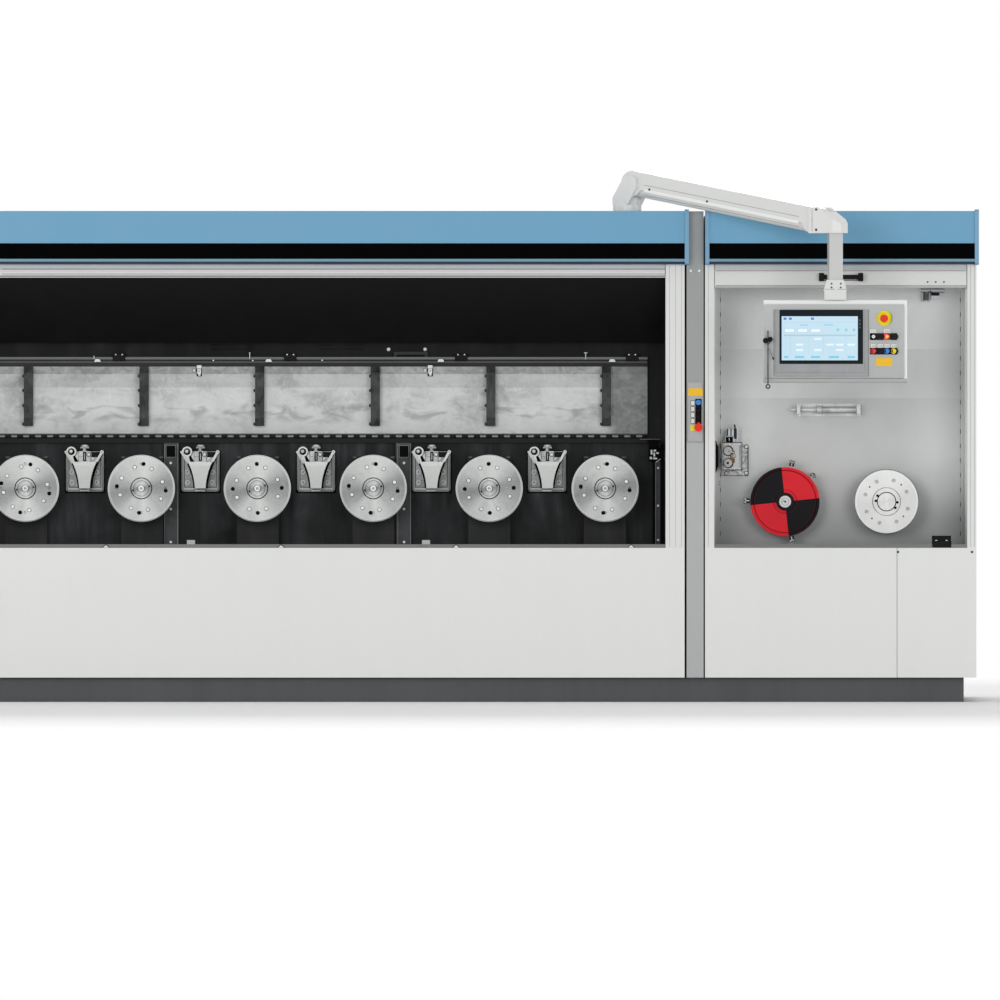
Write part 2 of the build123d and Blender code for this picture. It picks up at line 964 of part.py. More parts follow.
def horn_arms(x, y_low, y_high):
    """Two thin arms that rise from a horn's top corners, one to the wire eye and one to the lever."""
    centre = x + horn_shift
    half = horn_arm_width / 2
    root = horn_top_height - horn_arm_root
    left = centre - horn_top_width / 2
    right = centre + horn_top_width / 2
    eye_x = x - eye_offset
    eye_foot = eye_height - (eye_radius + eye_bore) / 2
    lever_x = x + lever_offset
    lever_height = horn_top_height + lever_rise
    eye_arm = [
        (left, root),
        (left + horn_arm_width, root),
        (eye_x + half, eye_foot),
        (eye_x - half, eye_foot),
    ]
    lever = [
        (right - horn_arm_width, root),
        (right, root),
        (lever_x + half, lever_height),
        (lever_x - half, lever_height),
    ]
    arms = prism_y(eye_arm, y_low, y_high) + prism_y(lever, y_low, y_high)
    arms += rod_y(lever_ball_radius, y_low, y_high, lever_x, lever_height)
    arms += rod_y(eye_radius, y_low, y_high, eye_x, eye_height)
    return arms - rod_y(eye_bore, y_low - 1, y_high + 1, eye_x, eye_height)


def die_horns():
    """Bright horns that guide the wire into the die, each with its wire eye and side lever."""
    y_back = y_wall - die_plate_thickness
    y_tip = y_back - horn_reach
    y_foot = y_back - horn_foot_reach
    horns = []
    for x in die_xs:
        horn = extrude(horn_face(x, y_back), horn_reach, dir=(0, -1, 0))
        margin = horn_top_width
        cutter = prism_x(
            [
                (y_tip - 1, horn_foot_height - 1),
                (y_foot, horn_foot_height - 1),
                (y_tip, horn_top_height - horn_nose),
                (y_tip - 1, horn_top_height - horn_nose),
            ],
            x - margin,
            x + margin,
        )
        arm_front = y_tip + horn_arm_setback
        horns.append(horn - cutter + horn_arms(x, arm_front, arm_front + horn_arm_depth))
    return horns


def die_clamps():
    """Clamp bridge with its T screw and side box on top of each horn."""
    clamps = []
    y_back = y_wall - die_plate_thickness
    y_mid = y_back - horn_reach / 2
    for x in die_xs:
        centre = x + horn_shift
        half = clamp_post_width * 1.5
        low = horn_top_height
        top = low + clamp_post_height
        y_low = y_mid - clamp_half_depth
        body = slab(centre - half, centre + half, y_low, y_back, low, top)
        slot_half = clamp_slot_width / 2
        slot_low = low + clamp_slot_sill
        slot_high = top - clamp_slot_head
        body -= slab(centre - slot_half, centre + slot_half, y_low - 1, y_mid, slot_low, slot_high)
        stem_top = top + clamp_stem_length
        body += rod_z(clamp_stem_radius, top - 1, stem_top, centre, y_mid)
        knob_half = clamp_knob_length / 2
        body += rod_x(clamp_knob_radius, centre - knob_half, centre + knob_half, y_mid, stem_top)
        box_low = y_low + clamp_box_setback
        box_high = centre + half + clamp_box_width
        body += slab(centre + half - 1, box_high, box_low, y_back, low, low + clamp_box_height)
        clamps.append(body)
    return clamps


def hinge_axis_y():
    """Y of the tilt cover's hinge axis."""
    return y_wall - hinge_setback


def knuckle_spans(moving):
    """X spans of every second knuckle, for the moving or the fixed leaf."""
    knuckle_pitch = 2 * (knuckle_length + knuckle_clearance)
    count = int((cover_right_x - cover_left_x) // knuckle_pitch)
    shift = knuckle_pitch / 2 if moving else 0
    starts = [cover_left_x + shift + knuckle_pitch * index for index in range(count)]
    return [(x, x + knuckle_length) for x in starts]


def cover_hinge():
    """Fixed leaf of the piano hinge with its knuckles and pin, on a rail along the wall."""
    y = hinge_axis_y()
    half = hinge_leaf_thickness / 2
    leaf_top = hinge_height - knuckle_radius - seat_gap
    leaf_low = hinge_rail_underside()
    rail = slab(cover_left_x, cover_right_x, y - half, y + half, leaf_low, leaf_top)
    rail += slab(cover_left_x, cover_right_x, y - half, y_wall, leaf_low, leaf_low + hinge_foot_thickness)
    rail += rod_x(hinge_pin_radius, cover_left_x, cover_right_x, y, hinge_height)
    knuckles = []
    for low, high in knuckle_spans(False):
        knuckles.append(rod_x(knuckle_radius, low, high, y, hinge_height))
        knuckles.append(slab(low, high, y - half, y + half, leaf_top - 1, hinge_height))
    return rail + knuckles


def cover_sheet():
    """Sheet of the tilt cover with its moving hinge knuckles, standing open."""
    y = hinge_axis_y()
    half = cover_sheet_thickness / 2
    low_z = hinge_height + knuckle_radius + seat_gap
    high_z = hinge_height + cover_sheet_height
    sheet = slab(cover_left_x, cover_right_x, y - half, y + half, low_z, high_z)
    bore = hinge_pin_radius + running_clearance
    knuckles = []
    for low, high in knuckle_spans(True):
        knuckles.append(rod_x(knuckle_radius, low, high, y, hinge_height))
        knuckles.append(slab(low, high, y - half, y + half, hinge_height, low_z + 1))
    sheet += knuckles
    return sheet - rod_x(bore, cover_left_x - 1, cover_right_x + 1, y, hinge_height)


def cover_ribs():
    """Black ribs on the inner face of the tilt cover, one over each capstan."""
    y_high = hinge_axis_y() - cover_sheet_thickness / 2
    y_low = y_high - rib_depth
    top = hinge_height + cover_sheet_height
    low = top - rib_height
    half = rib_width / 2
    ribs = []
    for x in capstan_xs:
        centre = x + rib_shift
        outline = [
            (y_high, low),
            (y_low + rib_low_slope[0], low),
            (y_low, low + rib_low_slope[1]),
            (y_low, top - rib_top_slope[1]),
            (y_low + rib_top_slope[0], top),
            (y_high, top),
        ]
        ribs.append(prism_x(outline, centre - half, centre + half))
    return ribs


def cover_edge_rail():
    """Edge rail and grab handle along the free edge of the tilt cover."""
    y = hinge_axis_y()
    sheet_top = hinge_height + cover_sheet_height
    rail_top = sheet_top + edge_rail_rise + edge_rail_height
    half = edge_rail_depth / 2
    rail = slab(cover_left_x, cover_right_x, y - half, y + half, rail_top - edge_rail_height, rail_top)
    rail += slab(
        cover_left_x,
        cover_right_x,
        y - cover_sheet_thickness / 2,
        y + cover_sheet_thickness / 2,
        sheet_top,
        rail_top - edge_rail_height + 1,
    )
    centre = x_draw_low + grab_offset
    low = centre - grab_length / 2
    high = centre + grab_length / 2
    bar_half = grab_bar / 2
    grab_top = rail_top + grab_rise
    rail += slab(low, high, y - bar_half, y + bar_half, grab_top - grab_bar, grab_top)
    for x in (low, high - grab_bar):
        rail += slab(x, x + grab_bar, y - bar_half, y + bar_half, rail_top - 1, grab_top)
    return rail


def takeup_wall():
    """Grey back wall of the take-up chamber."""
    low = x_take_start + side_wall_thickness
    high = x_right - side_wall_thickness
    return slab(low, high, y_wall, y_wall_back, housing_shelf, roof_underside)


def takeup_liners():
    """Side liners of the take-up chamber with their wall flanges, the left one with the wire passage."""
    top = fascia_low
    low = x_take_start + side_wall_thickness
    left = slab(low, low + liner_thickness, y_post_back, y_wall, trough_top, top)
    flange = y_wall - liner_flange_thickness
    edge = low + liner_thickness
    left += slab(edge - 1, edge + liner_flange_width, flange, y_wall, trough_top, top)
    left -= wire_passage(low - 1, edge + 1)
    high = x_right - side_wall_thickness
    right = slab(high - liner_thickness, high, y_post_back, y_wall, trough_top, top)
    edge = high - liner_thickness
    right += slab(edge - liner_flange_width, edge + 1, flange, y_wall, trough_top, top)
    return left, right


def takeup_ceiling():
    """Closed top of the take-up chamber."""
    low = x_take_start + side_wall_thickness
    high = x_right - side_wall_thickness
    return slab(low, high, y_post_back, y_wall, fascia_low, roof_underside)


def takeup_floor():
    """Floor of the take-up chamber with its front lip."""
    return prism_x(trough_outline(), x_take_start + side_wall_thickness, x_right - side_wall_thickness)


def spindle_bosses():
    """Bearing bosses of the sheave and the pull-out capstan on the take-up wall."""
    bore = shaft_radius + running_clearance
    bosses = []
    rows = (
        (sheave_x, sheave_boss_radius, sheave_standoff),
        (pull_x, pull_boss_radius, pull_standoff),
    )
    for x, radius, standoff in rows:
        y_low = y_wall - standoff + capstan_standoff
        boss = rod_y(radius, y_low, y_wall, x, takeup_axis_height)
        boss -= rod_y(bore, y_low - 1, y_wall + 1, x, takeup_axis_height)
        bosses.append(boss)
    return bosses


def sheave():
    """Two-coloured sheave: grooved rim, dished face, hub ring and cap, with its shaft."""
    y_back = y_wall - sheave_standoff
    y_face = y_back - sheave_width
    y_dish = y_face + sheave_dish_depth
    y_hub = y_face - sheave_hub_height + sheave_dish_depth
    y_cap = y_hub - sheave_cap_height
    y_middle = (y_face + y_back) / 2
    groove_r = sheave_radius - sheave_groove_depth
    points = [
        (0, y_cap),
        (sheave_cap_radius, y_cap),
        (sheave_cap_radius, y_hub),
        (sheave_hub_radius, y_hub),
        (sheave_hub_radius, y_dish),
        (sheave_radius - sheave_lip - sheave_lip_slope, y_dish),
        (sheave_radius - sheave_lip, y_face),
        (sheave_radius, y_face),
        (sheave_radius, y_face + sheave_rim),
        (groove_r, y_middle - sheave_groove_floor),
        (groove_r, y_middle + sheave_groove_floor),
        (sheave_radius, y_back - sheave_rim),
        (sheave_radius, y_back),
        (shaft_radius, y_back),
        (shaft_radius, y_wall - seat_gap),
        (0, y_wall - seat_gap),
    ]
    return turned(points, sheave_x, takeup_axis_height)


def sheave_guards():
    """Guard posts round the sheave's rim that keep the wire in its groove."""
    y_face = y_wall - sheave_standoff - sheave_width
    reach = sheave_radius + guard_clearance + guard_radius
    posts = []
    for degrees in guard_angles:
        x = sheave_x + reach * cos(radians(degrees))
        z = takeup_axis_height + reach * sin(radians(degrees))
        y_head = y_face - guard_overhang
        post = rod_y(guard_radius, y_head, y_wall, x, z)
        post += rod_y(guard_head_radius, y_head - guard_head_height, y_head, x, z)
        posts.append(post)
    return posts


def pull_out_capstan():
    """Pull-out capstan: ringed face, drum, back flange and shaft."""
    y_flange = y_wall - pull_standoff
    y_drum = y_flange - pull_flange_thickness
    y_face_back = y_drum - pull_drum_length
    y_face = y_face_back - pull_face_thickness
    groove_in = pull_groove_circle - pull_groove_width / 2
    groove_out = pull_groove_circle + pull_groove_width / 2
    points = [
        (0, y_face),
        (groove_in, y_face),
        (groove_in, y_face + pull_groove_depth),
        (groove_out, y_face + pull_groove_depth),
        (groove_out, y_face),
        (pull_radius - pull_rim, y_face),
        (pull_radius, y_face + pull_rim),
        (pull_radius, y_face_back),
        (pull_drum_radius, y_face_back + flange_rise),
        (pull_drum_radius, y_drum - flange_rise),
        (pull_radius, y_drum),
        (pull_radius, y_flange),
        (shaft_radius, y_flange),
        (shaft_radius, y_wall - seat_gap),
        (0, y_wall - seat_gap),
    ]
    body = turned(points, pull_x, takeup_axis_height)
    for degrees in pull_hole_angles:
        x = pull_x + pull_hole_circle * cos(radians(degrees))
        z = takeup_axis_height + pull_hole_circle * sin(radians(degrees))
        body -= rod_y(pull_hole_radius, y_face - 1, y_face + pull_hole_depth, x, z)
    return body


def block_face_y():
    """Y of the roller block's front face."""
    return y_wall - block_plate_thickness - block_reach


def roller_block():
    """Roller block on its back plate, with two round cavities joined by a wire channel."""
    y_plate = y_wall - block_plate_thickness
    y_face = block_face_y()
    plate_low_z = block_low_z - block_plate_drop
    block_high_x = block_low_x + block_width
    block = slab(block_low_x, block_high_x, y_face, y_plate, block_low_z, block_low_z + block_height)
    plate_high_x = block_low_x + block_plate_width
    plate_high_z = plate_low_z + block_plate_height
    block += slab(block_low_x, plate_high_x, y_plate, y_wall, plate_low_z, plate_high_z)
    y_floor = y_face + roller_cavity_depth
    for z in roller_heights:
        block -= rod_y(roller_cavity_radius, y_face - 1, y_floor, roller_x, z)
    channel_low = roller_heights[1]
    channel_high = roller_heights[0]
    channel_x = roller_x + roller_cavity_radius - roller_channel_overlap
    channel_end = channel_x + roller_channel_width
    block -= slab(channel_x, channel_end, y_face - 1, y_floor, channel_low, channel_high)
    for z in roller_heights:
        block += rod_y(roller_pin_radius, y_face, y_floor + 1, roller_x, z)
    return block


def guide_roller(z):
    """Guide roller with a shallow groove, turning on its pin."""
    y_face = block_face_y()
    y_back = y_face + roller_length
    bore = roller_pin_radius + running_clearance
    middle = (y_face + y_back) / 2
    points = [
        (bore, y_face),
        (roller_radius, y_face),
        (roller_radius, middle - roller_groove_width / 2),
        (roller_radius - roller_groove_depth, middle),
        (roller_radius, middle + roller_groove_width / 2),
        (roller_radius, y_back),
        (bore, y_back),
    ]
    return turned(points, roller_x, z)


def wire_fittings():
    """Plug box, two white hose fittings and the blue valve on top of the roller block."""
    top = block_low_z + block_height
    centre = block_low_x + block_width / 2 - plug_shift
    y_mid = y_wall - block_plate_thickness - block_reach / 2
    half = plug_width / 2
    half_depth = plug_depth / 2
    box_top = top + plug_height
    box = slab(centre - half, centre + half, y_mid - half_depth, y_mid + half_depth, top, box_top)
    for x in (centre - fitting_spacing / 2, centre + fitting_spacing / 2):
        box += rod_z(fitting_radius, box_top - 1, box_top + fitting_height, x, y_mid)
    valve_x = centre + half + valve_radius + valve_gap
    box += rod_z(valve_radius, top, top + valve_height, valve_x, y_mid)
    arm_half = valve_arm_depth / 2
    arm_low = top + valve_arm_rise
    arm_high = arm_low + valve_arm_depth
    box += slab(centre + half - 1, valve_x, y_mid - arm_half, y_mid + arm_half, arm_low, arm_high)
    return box


def wire_guide_tube():
    """Wire guide tube on its plate: clamps, tip, rod, collar and body along X."""
    plate_low_x = x_take_low + tube_plate_offset
    plate_high_x = plate_low_x + tube_plate_length
    y_plate = y_wall - tube_plate_thickness
    half = tube_plate_height / 2
    low_z = tube_axis_height - half
    piece = slab(plate_low_x, plate_high_x, y_plate, y_wall, low_z, low_z + tube_plate_height)
    y_axis = y_wall - tube_axis_reach
    clamp_half = tube_clamp_height / 2
    for x in (plate_low_x + tube_clamp_inset, plate_high_x - tube_clamp_width - tube_clamp_inset):
        low_z = tube_axis_height - clamp_half
        high_z = tube_axis_height + clamp_half
        piece += slab(x, x + tube_clamp_width, y_axis - clamp_half, y_plate, low_z, high_z)
    tip_x = plate_low_x - tube_tip_length
    collar_x = plate_low_x + tube_rod_length
    body_x = collar_x + tube_collar_length
    end_x = body_x + tube_body_length
    points = [
        (tip_x, 0),
        (tip_x, tube_tip_radius),
        (plate_low_x, tube_rod_radius),
        (collar_x, tube_rod_radius),
        (collar_x, tube_collar_radius),
        (body_x, tube_collar_radius),
        (body_x, tube_body_radius),
        (end_x, tube_body_radius),
        (end_x, 0),
    ]
    tube = revolve(make_face(Polyline(*points, close=True)), Axis.X, 360)
    return piece + Pos(0, y_axis, tube_axis_height) * tube


def sill_bracket():
    """Black angle bracket on the take-up sill."""
    bracket_low_x = x_take_high - bracket_inset
    high_x = bracket_low_x + bracket_length
    y_high = y_post_back
    y_low = y_high - bracket_depth
    angle = slab(bracket_low_x, high_x, y_low, y_high, sill_top, sill_top + bracket_thickness)
    upright_y = y_high - bracket_thickness
    return angle + slab(bracket_low_x, high_x, upright_y, y_high, sill_top, sill_top + bracket_height)


def hanging_sensor():
    """Sensor pair hanging from a small shelf on the take-up wall."""
    sensor_low_x = x_take_high - sensor_inset
    high_x = sensor_low_x + sensor_width
    y_low = y_wall - sensor_depth
    top = fascia_low - takeup_rail_height
    shelf = slab(sensor_low_x, high_x, y_low, y_wall, top - sensor_plate, top)
    y_mid = (y_low + y_wall) / 2
    barrel_x = sensor_low_x + sensor_barrel_inset
    shelf += rod_z(sensor_barrel_radius, top - sensor_height, top - 1, barrel_x, y_mid)
    box_x = sensor_low_x + sensor_box_inset
    half = sensor_box_depth / 2
    box_low = top - sensor_box_height
    shelf += slab(box_x, box_x + sensor_box_width, y_mid - half, y_mid + half, box_low, top - 1)
    return shelf


def pillar_controls():
    """Control plate of the pillar."""
    middle = (x_pillar_low + x_pillar_high) / 2
    high_z = control_plate_low + control_plate_height
    y_low = y_front - control_plate_thickness
    centre_z = (control_plate_low + high_z) / 2
    size = (control_plate_width, control_plate_height)
    return plate_y(*size, y_low, y_front, middle, centre_z, control_plate_corner)


def stop_button(x, z, face, radius, reach):
    """Stem and mushroom head of a stop button."""
    tip = face - reach
    stem = rod_y(radius * stop_stem_share, tip + stop_head_height, face, x, z)
    return stem + rod_y(radius, tip, tip + stop_head_height, x, z)


def pillar_buttons():
    """Push buttons and stop button of the pillar."""
    x = (x_pillar_low + x_pillar_high) / 2 + pillar_button_offset
    y_plate = y_front - control_plate_thickness
    buttons = []
    for z in pillar_button_heights:
        buttons.append(rod_y(pillar_button_radius, y_plate - pillar_button_height, y_plate, x, z))
    buttons.append(stop_button(x, pillar_stop_height, y_plate, pillar_stop_radius, pillar_stop_reach))
    return buttons


def on_arm(shape):
    """Places a shape from the arm's own upright plane into the machine."""
    return Pos(arm_base_x, arm_base_y, 0) * Rot(0, 0, arm_turn) * shape


def bar_y(radius, half_width, reach, z):
    """Cross pin of the arm, along its local Y."""
    return Pos(reach, 0, z) * Rot(90, 0, 0) * Cylinder(radius, 2 * half_width)


def arm_base():
    """Round base of the arm on the roof."""
    return rod_z(arm_base_radius, roof_top, roof_top + arm_base_rise, arm_base_x, arm_base_y)


def arm_turret():
    """Swivelling turret with the fork that carries the lift pin."""
    low = roof_top + arm_base_rise + seat_gap
    high = low + turret_rise
    turret = Pos(0, 0, (low + high) / 2) * Cylinder(turret_radius, turret_rise)
    inner = arm_width / 2 + seat_gap
    outer = inner + fork_thickness
    top = lift_pin_height + fork_rise
    foot = turret_radius - fork_inset
    front = lift_pin_reach + fork_reach
    outline = [
        (-foot, low),
        (foot, low),
        (front, lift_pin_height - fork_chamfer),
        (front, top - fork_chamfer),
        (front - fork_chamfer, top),
        (lift_pin_reach - fork_reach, top),
        (-foot, high),
    ]
    for side in (-1, 1):
        y_low, y_high = sorted((side * inner, side * outer))
        turret += prism_y(outline, y_low, y_high)
    turret += slab(-foot, foot, -outer, outer, low, high)
    turret -= bar_y(arm_pin_radius + running_clearance, outer + 1, lift_pin_reach, lift_pin_height)
    return on_arm(turret)


def arm_slope():
    """Direction and length of the line between the two cross pins, in the arm's plane."""
    run = head_pin_reach - lift_pin_reach
    rise = head_pin_height - lift_pin_height
    length = sqrt(run * run + rise * rise)
    return run / length, rise / length, length


def support_arm():
    """Sloping arm: upper box, rounded belly, round ends about the two cross pins."""
    along, up, length = arm_slope()
    radius = (arm_height + arm_belly_radius) / 2
    upper_low = radius - arm_height
    half = arm_width / 2
    upper = slab(0, length, -half, half, upper_low, radius)
    ends = bar_y(radius, half, 0, 0) + bar_y(radius, half, length, 0)
    belly = Pos(length / 2, 0, arm_belly_radius - radius) * Rot(0, 90, 0) * Cylinder(arm_belly_radius, length)
    body = upper + belly + ends
    pin_half = half + seat_gap + fork_thickness
    head_half = half + seat_gap + head_wall
    body += bar_y(arm_pin_radius, pin_half, 0, 0)
    body += bar_y(arm_pin_radius, head_half, length, 0)
    slope = Plane((lift_pin_reach, 0, lift_pin_height), x_dir=(along, 0, up), z_dir=(-up, 0, along))
    return on_arm(slope * body)


def arm_head():
    """Head of the arm: two cheeks over the arm's round end and the block over the drop tube."""
    low = head_lower
    high = low + head_height
    end = head_low_reach + head_length
    outline = [
        (head_low_reach, low),
        (end, low),
        (end, low + head_nose_height),
        (head_low_reach + head_top_length, high),
        (head_low_reach, high),
    ]
    inner = arm_width / 2 + seat_gap
    outer = inner + head_wall
    radius = (arm_height + arm_belly_radius) / 2
    core_start = head_pin_reach + radius + arm_end_gap
    head = prism_y(outline, -outer, outer)
    head = chamfer(head.edges().filter_by(Axis.Z).sort_by(Axis.X)[-2:], head_corner)
    head -= slab(head_low_reach - 1, core_start, -inner, inner, low - 1, high + 1)
    head -= bar_y(arm_pin_radius + running_clearance, outer + 1, head_pin_reach, head_pin_height)
    return on_arm(head)


def drop_tube():
    """Square drop tube under the head, nearly square to the front and bored for the swivel pin."""
    half_x = drop_tube_width / 2
    half_y = drop_tube_depth / 2
    tube = slab(-half_x, half_x, -half_y, half_y, drop_tube_end, head_lower)
    bore = swivel_pin_radius + running_clearance
    tube -= rod_z(bore, drop_tube_end - 1, drop_tube_end + swivel_pin_length, 0, 0)
    return on_arm(Pos(arm_reach, 0, 0) * Rot(0, 0, drop_tube_turn) * tube)


def panel_centre():
    """Plan position of the panel's swivel axis."""
    x = arm_base_x + arm_reach * cos(radians(arm_turn))
    y = arm_base_y + arm_reach * sin(radians(arm_turn))
    return x, y


def panel_coupling():
    """Coupling between drop tube and panel: swivel pin, flared neck and foot block."""
    x, y = panel_centre()
    top = drop_tube_end - seat_gap
    foot_top = top - coupling_neck
    low = top - coupling_height
    half = coupling_width / 2
    neck_half = drop_tube_width / 2 + coupling_flare
    outline = [
        (x - half, foot_top),
        (x + half, foot_top),
        (x + neck_half, top),
        (x - neck_half, top),
    ]
    half_y = coupling_depth / 2
    neck = prism_y(outline, y - half_y, y + half_y)
    foot_half = half - coupling_foot_inset
    foot = slab(x - foot_half, x + foot_half, y - half_y, y + half_y, low, foot_top)
    pin = rod_z(swivel_pin_radius, top - 1, drop_tube_end + swivel_pin_length - seat_gap, x, y)
    return neck + foot + pin


def panel_top():
    """Height of the operator panel's top face."""
    return drop_tube_end - seat_gap - coupling_height


def panel_faces():
    """Y of the panel's back, housing front and front plate."""
    y = panel_centre()[1]
    back = y + panel_depth / 2
    front = y - panel_depth / 2
    return back, front, front - front_plate_depth


def panel_housing():
    """Rounded panel housing with its proud front plate."""
    x = panel_centre()[0]
    back, front, plate = panel_faces()
    middle = panel_top() - panel_height / 2
    housing = Pos(x, (back + front) / 2, middle) * Box(panel_width, panel_depth, panel_height)
    housing = fillet(housing.edges().filter_by(Axis.X), panel_corner)
    plate_x = plate_corner()[0] + front_plate_width / 2
    front_plate = plate_y(
        front_plate_width, front_plate_height, plate, front, plate_x, middle, front_plate_corner
    )
    return housing + front_plate


def plate_corner():
    """Left edge and top edge of the panel's front plate."""
    x = panel_centre()[0] - panel_width / 2
    return x, panel_top() - (panel_height - front_plate_height) / 2


def panel_display():
    """Aluminium display frame on the front plate."""
    left, top = plate_corner()
    plate = panel_faces()[2]
    x = left + display_low + display_width / 2
    z = top - display_drop - display_height / 2
    return plate_y(display_width, display_height, plate - display_depth, plate, x, z, display_corner)


def display_glass():
    """Black glass of the display."""
    left, top = plate_corner()
    face = panel_faces()[2] - display_depth
    x_low = left + display_low + glass_margin
    x_high = left + display_low + display_width - glass_margin
    z_high = top - display_drop - (display_height - glass_height - glass_foot)
    return slab(x_low, x_high, face - glass_proud, face, z_high - glass_height, z_high)


def panel_buttons():
    """Eight push buttons in two rows and the stop button with its collar."""
    left, top = plate_corner()
    face = panel_faces()[2]
    buttons = []
    for row in range(2):
        z = top - button_row - button_row_pitch * row
        for column in range(4):
            x = left + button_column + button_pitch * column
            buttons.append(rod_y(button_radius, face - button_height, face, x, z))
    x = left + stop_column
    z = top - stop_drop
    stop = rod_y(stop_collar_radius, face - stop_collar_height, face, x, z)
    buttons.append(stop + stop_button(x, z, face, stop_radius, stop_reach))
    return buttons


def threading_hook():
    """Threading hook hanging from a black knob at the left of the front plate."""
    left, top = plate_corner()
    face = panel_faces()[2]
    x = left + hook_column
    z = top - hook_drop
    knob = rod_y(hook_knob_radius, face - hook_knob_reach, face, x, z)
    y_wire = face - hook_knob_reach - hook_wire
    hook = knob + rod_y(hook_pin_radius, y_wire - hook_wire, face - hook_knob_reach + 1, x, z)
    high = z + hook_end_rise
    low = high - hook_length
    hook += rod_z(hook_wire, low, high, x, y_wire)
    ring = Pos(x, y_wire, low - hook_ring_radius) * Rot(90, 0, 0) * Torus(hook_ring_radius, hook_wire)
    return hook + ring


def main():
    """Builds every piece and writes it to its own file."""
    os.makedirs("parts", exist_ok=True)
    write("base_frame", base_frame())
    write("drive_housings", *drive_housings())
    write("side_walls", *side_walls())
    write("roof_panels", *roof_panels())
    write("rear_doors", *rear_doors())
    write("lower_front_panels", *lower_front_panels())
    write("front_posts", *front_posts())
    write("front_rails", *front_sills(), *front_headers())
    write("door_rails", *door_rails())
    write("door_handle", door_handle())
    write("fascias", *fascias())
    write("fascia_end_caps", *fascia_end_caps())
    write("fascia_stripes", *fascia_stripes())
    write("outer_bands", *outer_bands())
    write("control_pillar", control_pillar())
    write("chamber_wall", chamber_wall())
    write("chamber_hood", chamber_hood())
    write("chamber_liners", *chamber_liners())
    write("chamber_trough", prism_x(trough_outline(), x_draw_low, x_draw_high))
    write("wall_posts", *wall_posts())
    write("capstan_housings", *capstan_housings())
    write("die_plates", *die_plates())
    write("die_horns", *die_horns())
    write("die_clamps", *die_clamps())
    for index, x in enumerate(capstan_xs):
        write(f"capstan_{index + 1}", capstan(x))
    write("cover_hinge", cover_hinge())
    write("cover_sheet", cover_sheet())
    write("cover_ribs", *cover_ribs())
    write("cover_edge_rail", cover_edge_rail())
    write("takeup_wall", takeup_wall())
    write("takeup_liners", *takeup_liners())
    write("takeup_decks", takeup_floor(), takeup_ceiling())
    write("spindle_bosses", *spindle_bosses())
    write("sheave", sheave())
    write("sheave_guards", *sheave_guards())
    write("pull_out_capstan", pull_out_capstan())
    write("roller_block", roller_block())
    write("guide_roller_upper", guide_roller(roller_heights[0]))
    write("guide_roller_lower", guide_roller(roller_heights[1]))
    write("wire_fittings", wire_fittings())
    write("wire_guide_tube", wire_guide_tube())
    write("sill_bracket", sill_bracket())
    write("hanging_sensor", hanging_sensor())
    write("pillar_plate", pillar_controls())
    write("pillar_buttons", *pillar_buttons())
    write("arm_base", arm_base())
    write("arm_turret", arm_turret())
    write("support_arm", support_arm())
    write("arm_head", arm_head() + drop_tube())
    write("panel_coupling", panel_coupling())
    write("panel_housing", panel_housing())
    write("panel_display", panel_display())
    write("display_glass", display_glass())
    write("panel_buttons", *panel_buttons())
    write("threading_hook", threading_hook())


if __name__ == "__main__":
    main()
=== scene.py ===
"""Finishes, fine pieces, light and camera of the wire drawing machine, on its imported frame."""
import logging
from dataclasses import dataclass, field
from enum import Enum
from functools import cache
from math import cos, pi, radians, sin
from typing import Union

import bmesh
import bpy
from mathutils import Matrix, Vector


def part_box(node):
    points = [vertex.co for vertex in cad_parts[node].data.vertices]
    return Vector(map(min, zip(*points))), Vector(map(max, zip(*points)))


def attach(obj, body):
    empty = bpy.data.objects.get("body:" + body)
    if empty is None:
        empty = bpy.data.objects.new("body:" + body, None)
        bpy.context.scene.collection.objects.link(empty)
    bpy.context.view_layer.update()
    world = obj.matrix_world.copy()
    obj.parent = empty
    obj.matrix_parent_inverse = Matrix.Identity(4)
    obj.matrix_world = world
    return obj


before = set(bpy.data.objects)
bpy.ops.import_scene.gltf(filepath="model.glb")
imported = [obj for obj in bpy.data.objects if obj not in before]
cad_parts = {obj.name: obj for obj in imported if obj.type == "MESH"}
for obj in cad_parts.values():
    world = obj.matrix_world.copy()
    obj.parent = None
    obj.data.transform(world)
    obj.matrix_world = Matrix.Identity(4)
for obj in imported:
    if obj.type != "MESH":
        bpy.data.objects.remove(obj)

log = logging.getLogger("drawing_machine")

Colour = tuple[int, int, int]
Tone = tuple[float, float, float, float]
Point = tuple[float, float, float]
Pair = tuple[float, float]
Socket = bpy.types.NodeSocket
Value = Union[Socket, float, Tone]

WHITE = (255, 255, 255)


class Body(Enum):
    """Body of the frame that a fine piece rides on."""

    MACHINE = "machine"
    COVER = "tilt_cover"
    ARM = "support_arm"
    HEAD = "arm_head"
    PANEL = "operator_panel"
    SHEAVE = "sheave"
    PULL_OUT = "pull_out_capstan"
    CAPSTAN_1 = "capstan_1"
    CAPSTAN_2 = "capstan_2"
    CAPSTAN_3 = "capstan_3"
    CAPSTAN_4 = "capstan_4"
    CAPSTAN_5 = "capstan_5"
    CAPSTAN_6 = "capstan_6"


class Slot(Enum):
    """Material group that a fine piece belongs to."""

    BRIGHT = "bright_steel"
    DARK = "dark_steel"
    BLACK = "black_plastic"
    SHELL = "white_panel"
    FITTING = "fitting_white"
    ARM = "arm_grey"
    GLASS = "display_glass"
    ALU = "display_alu"
    BUTTON = "button_plastic"
    BLUE = "fascia_blue"


class Axis(Enum):
    """Direction that the axis of a turned shape points to."""

    FRONT = Matrix.Rotation(radians(90), 4, "X")
    UP = Matrix.Identity(4)
    RIGHT = Matrix.Rotation(radians(90), 4, "Y")


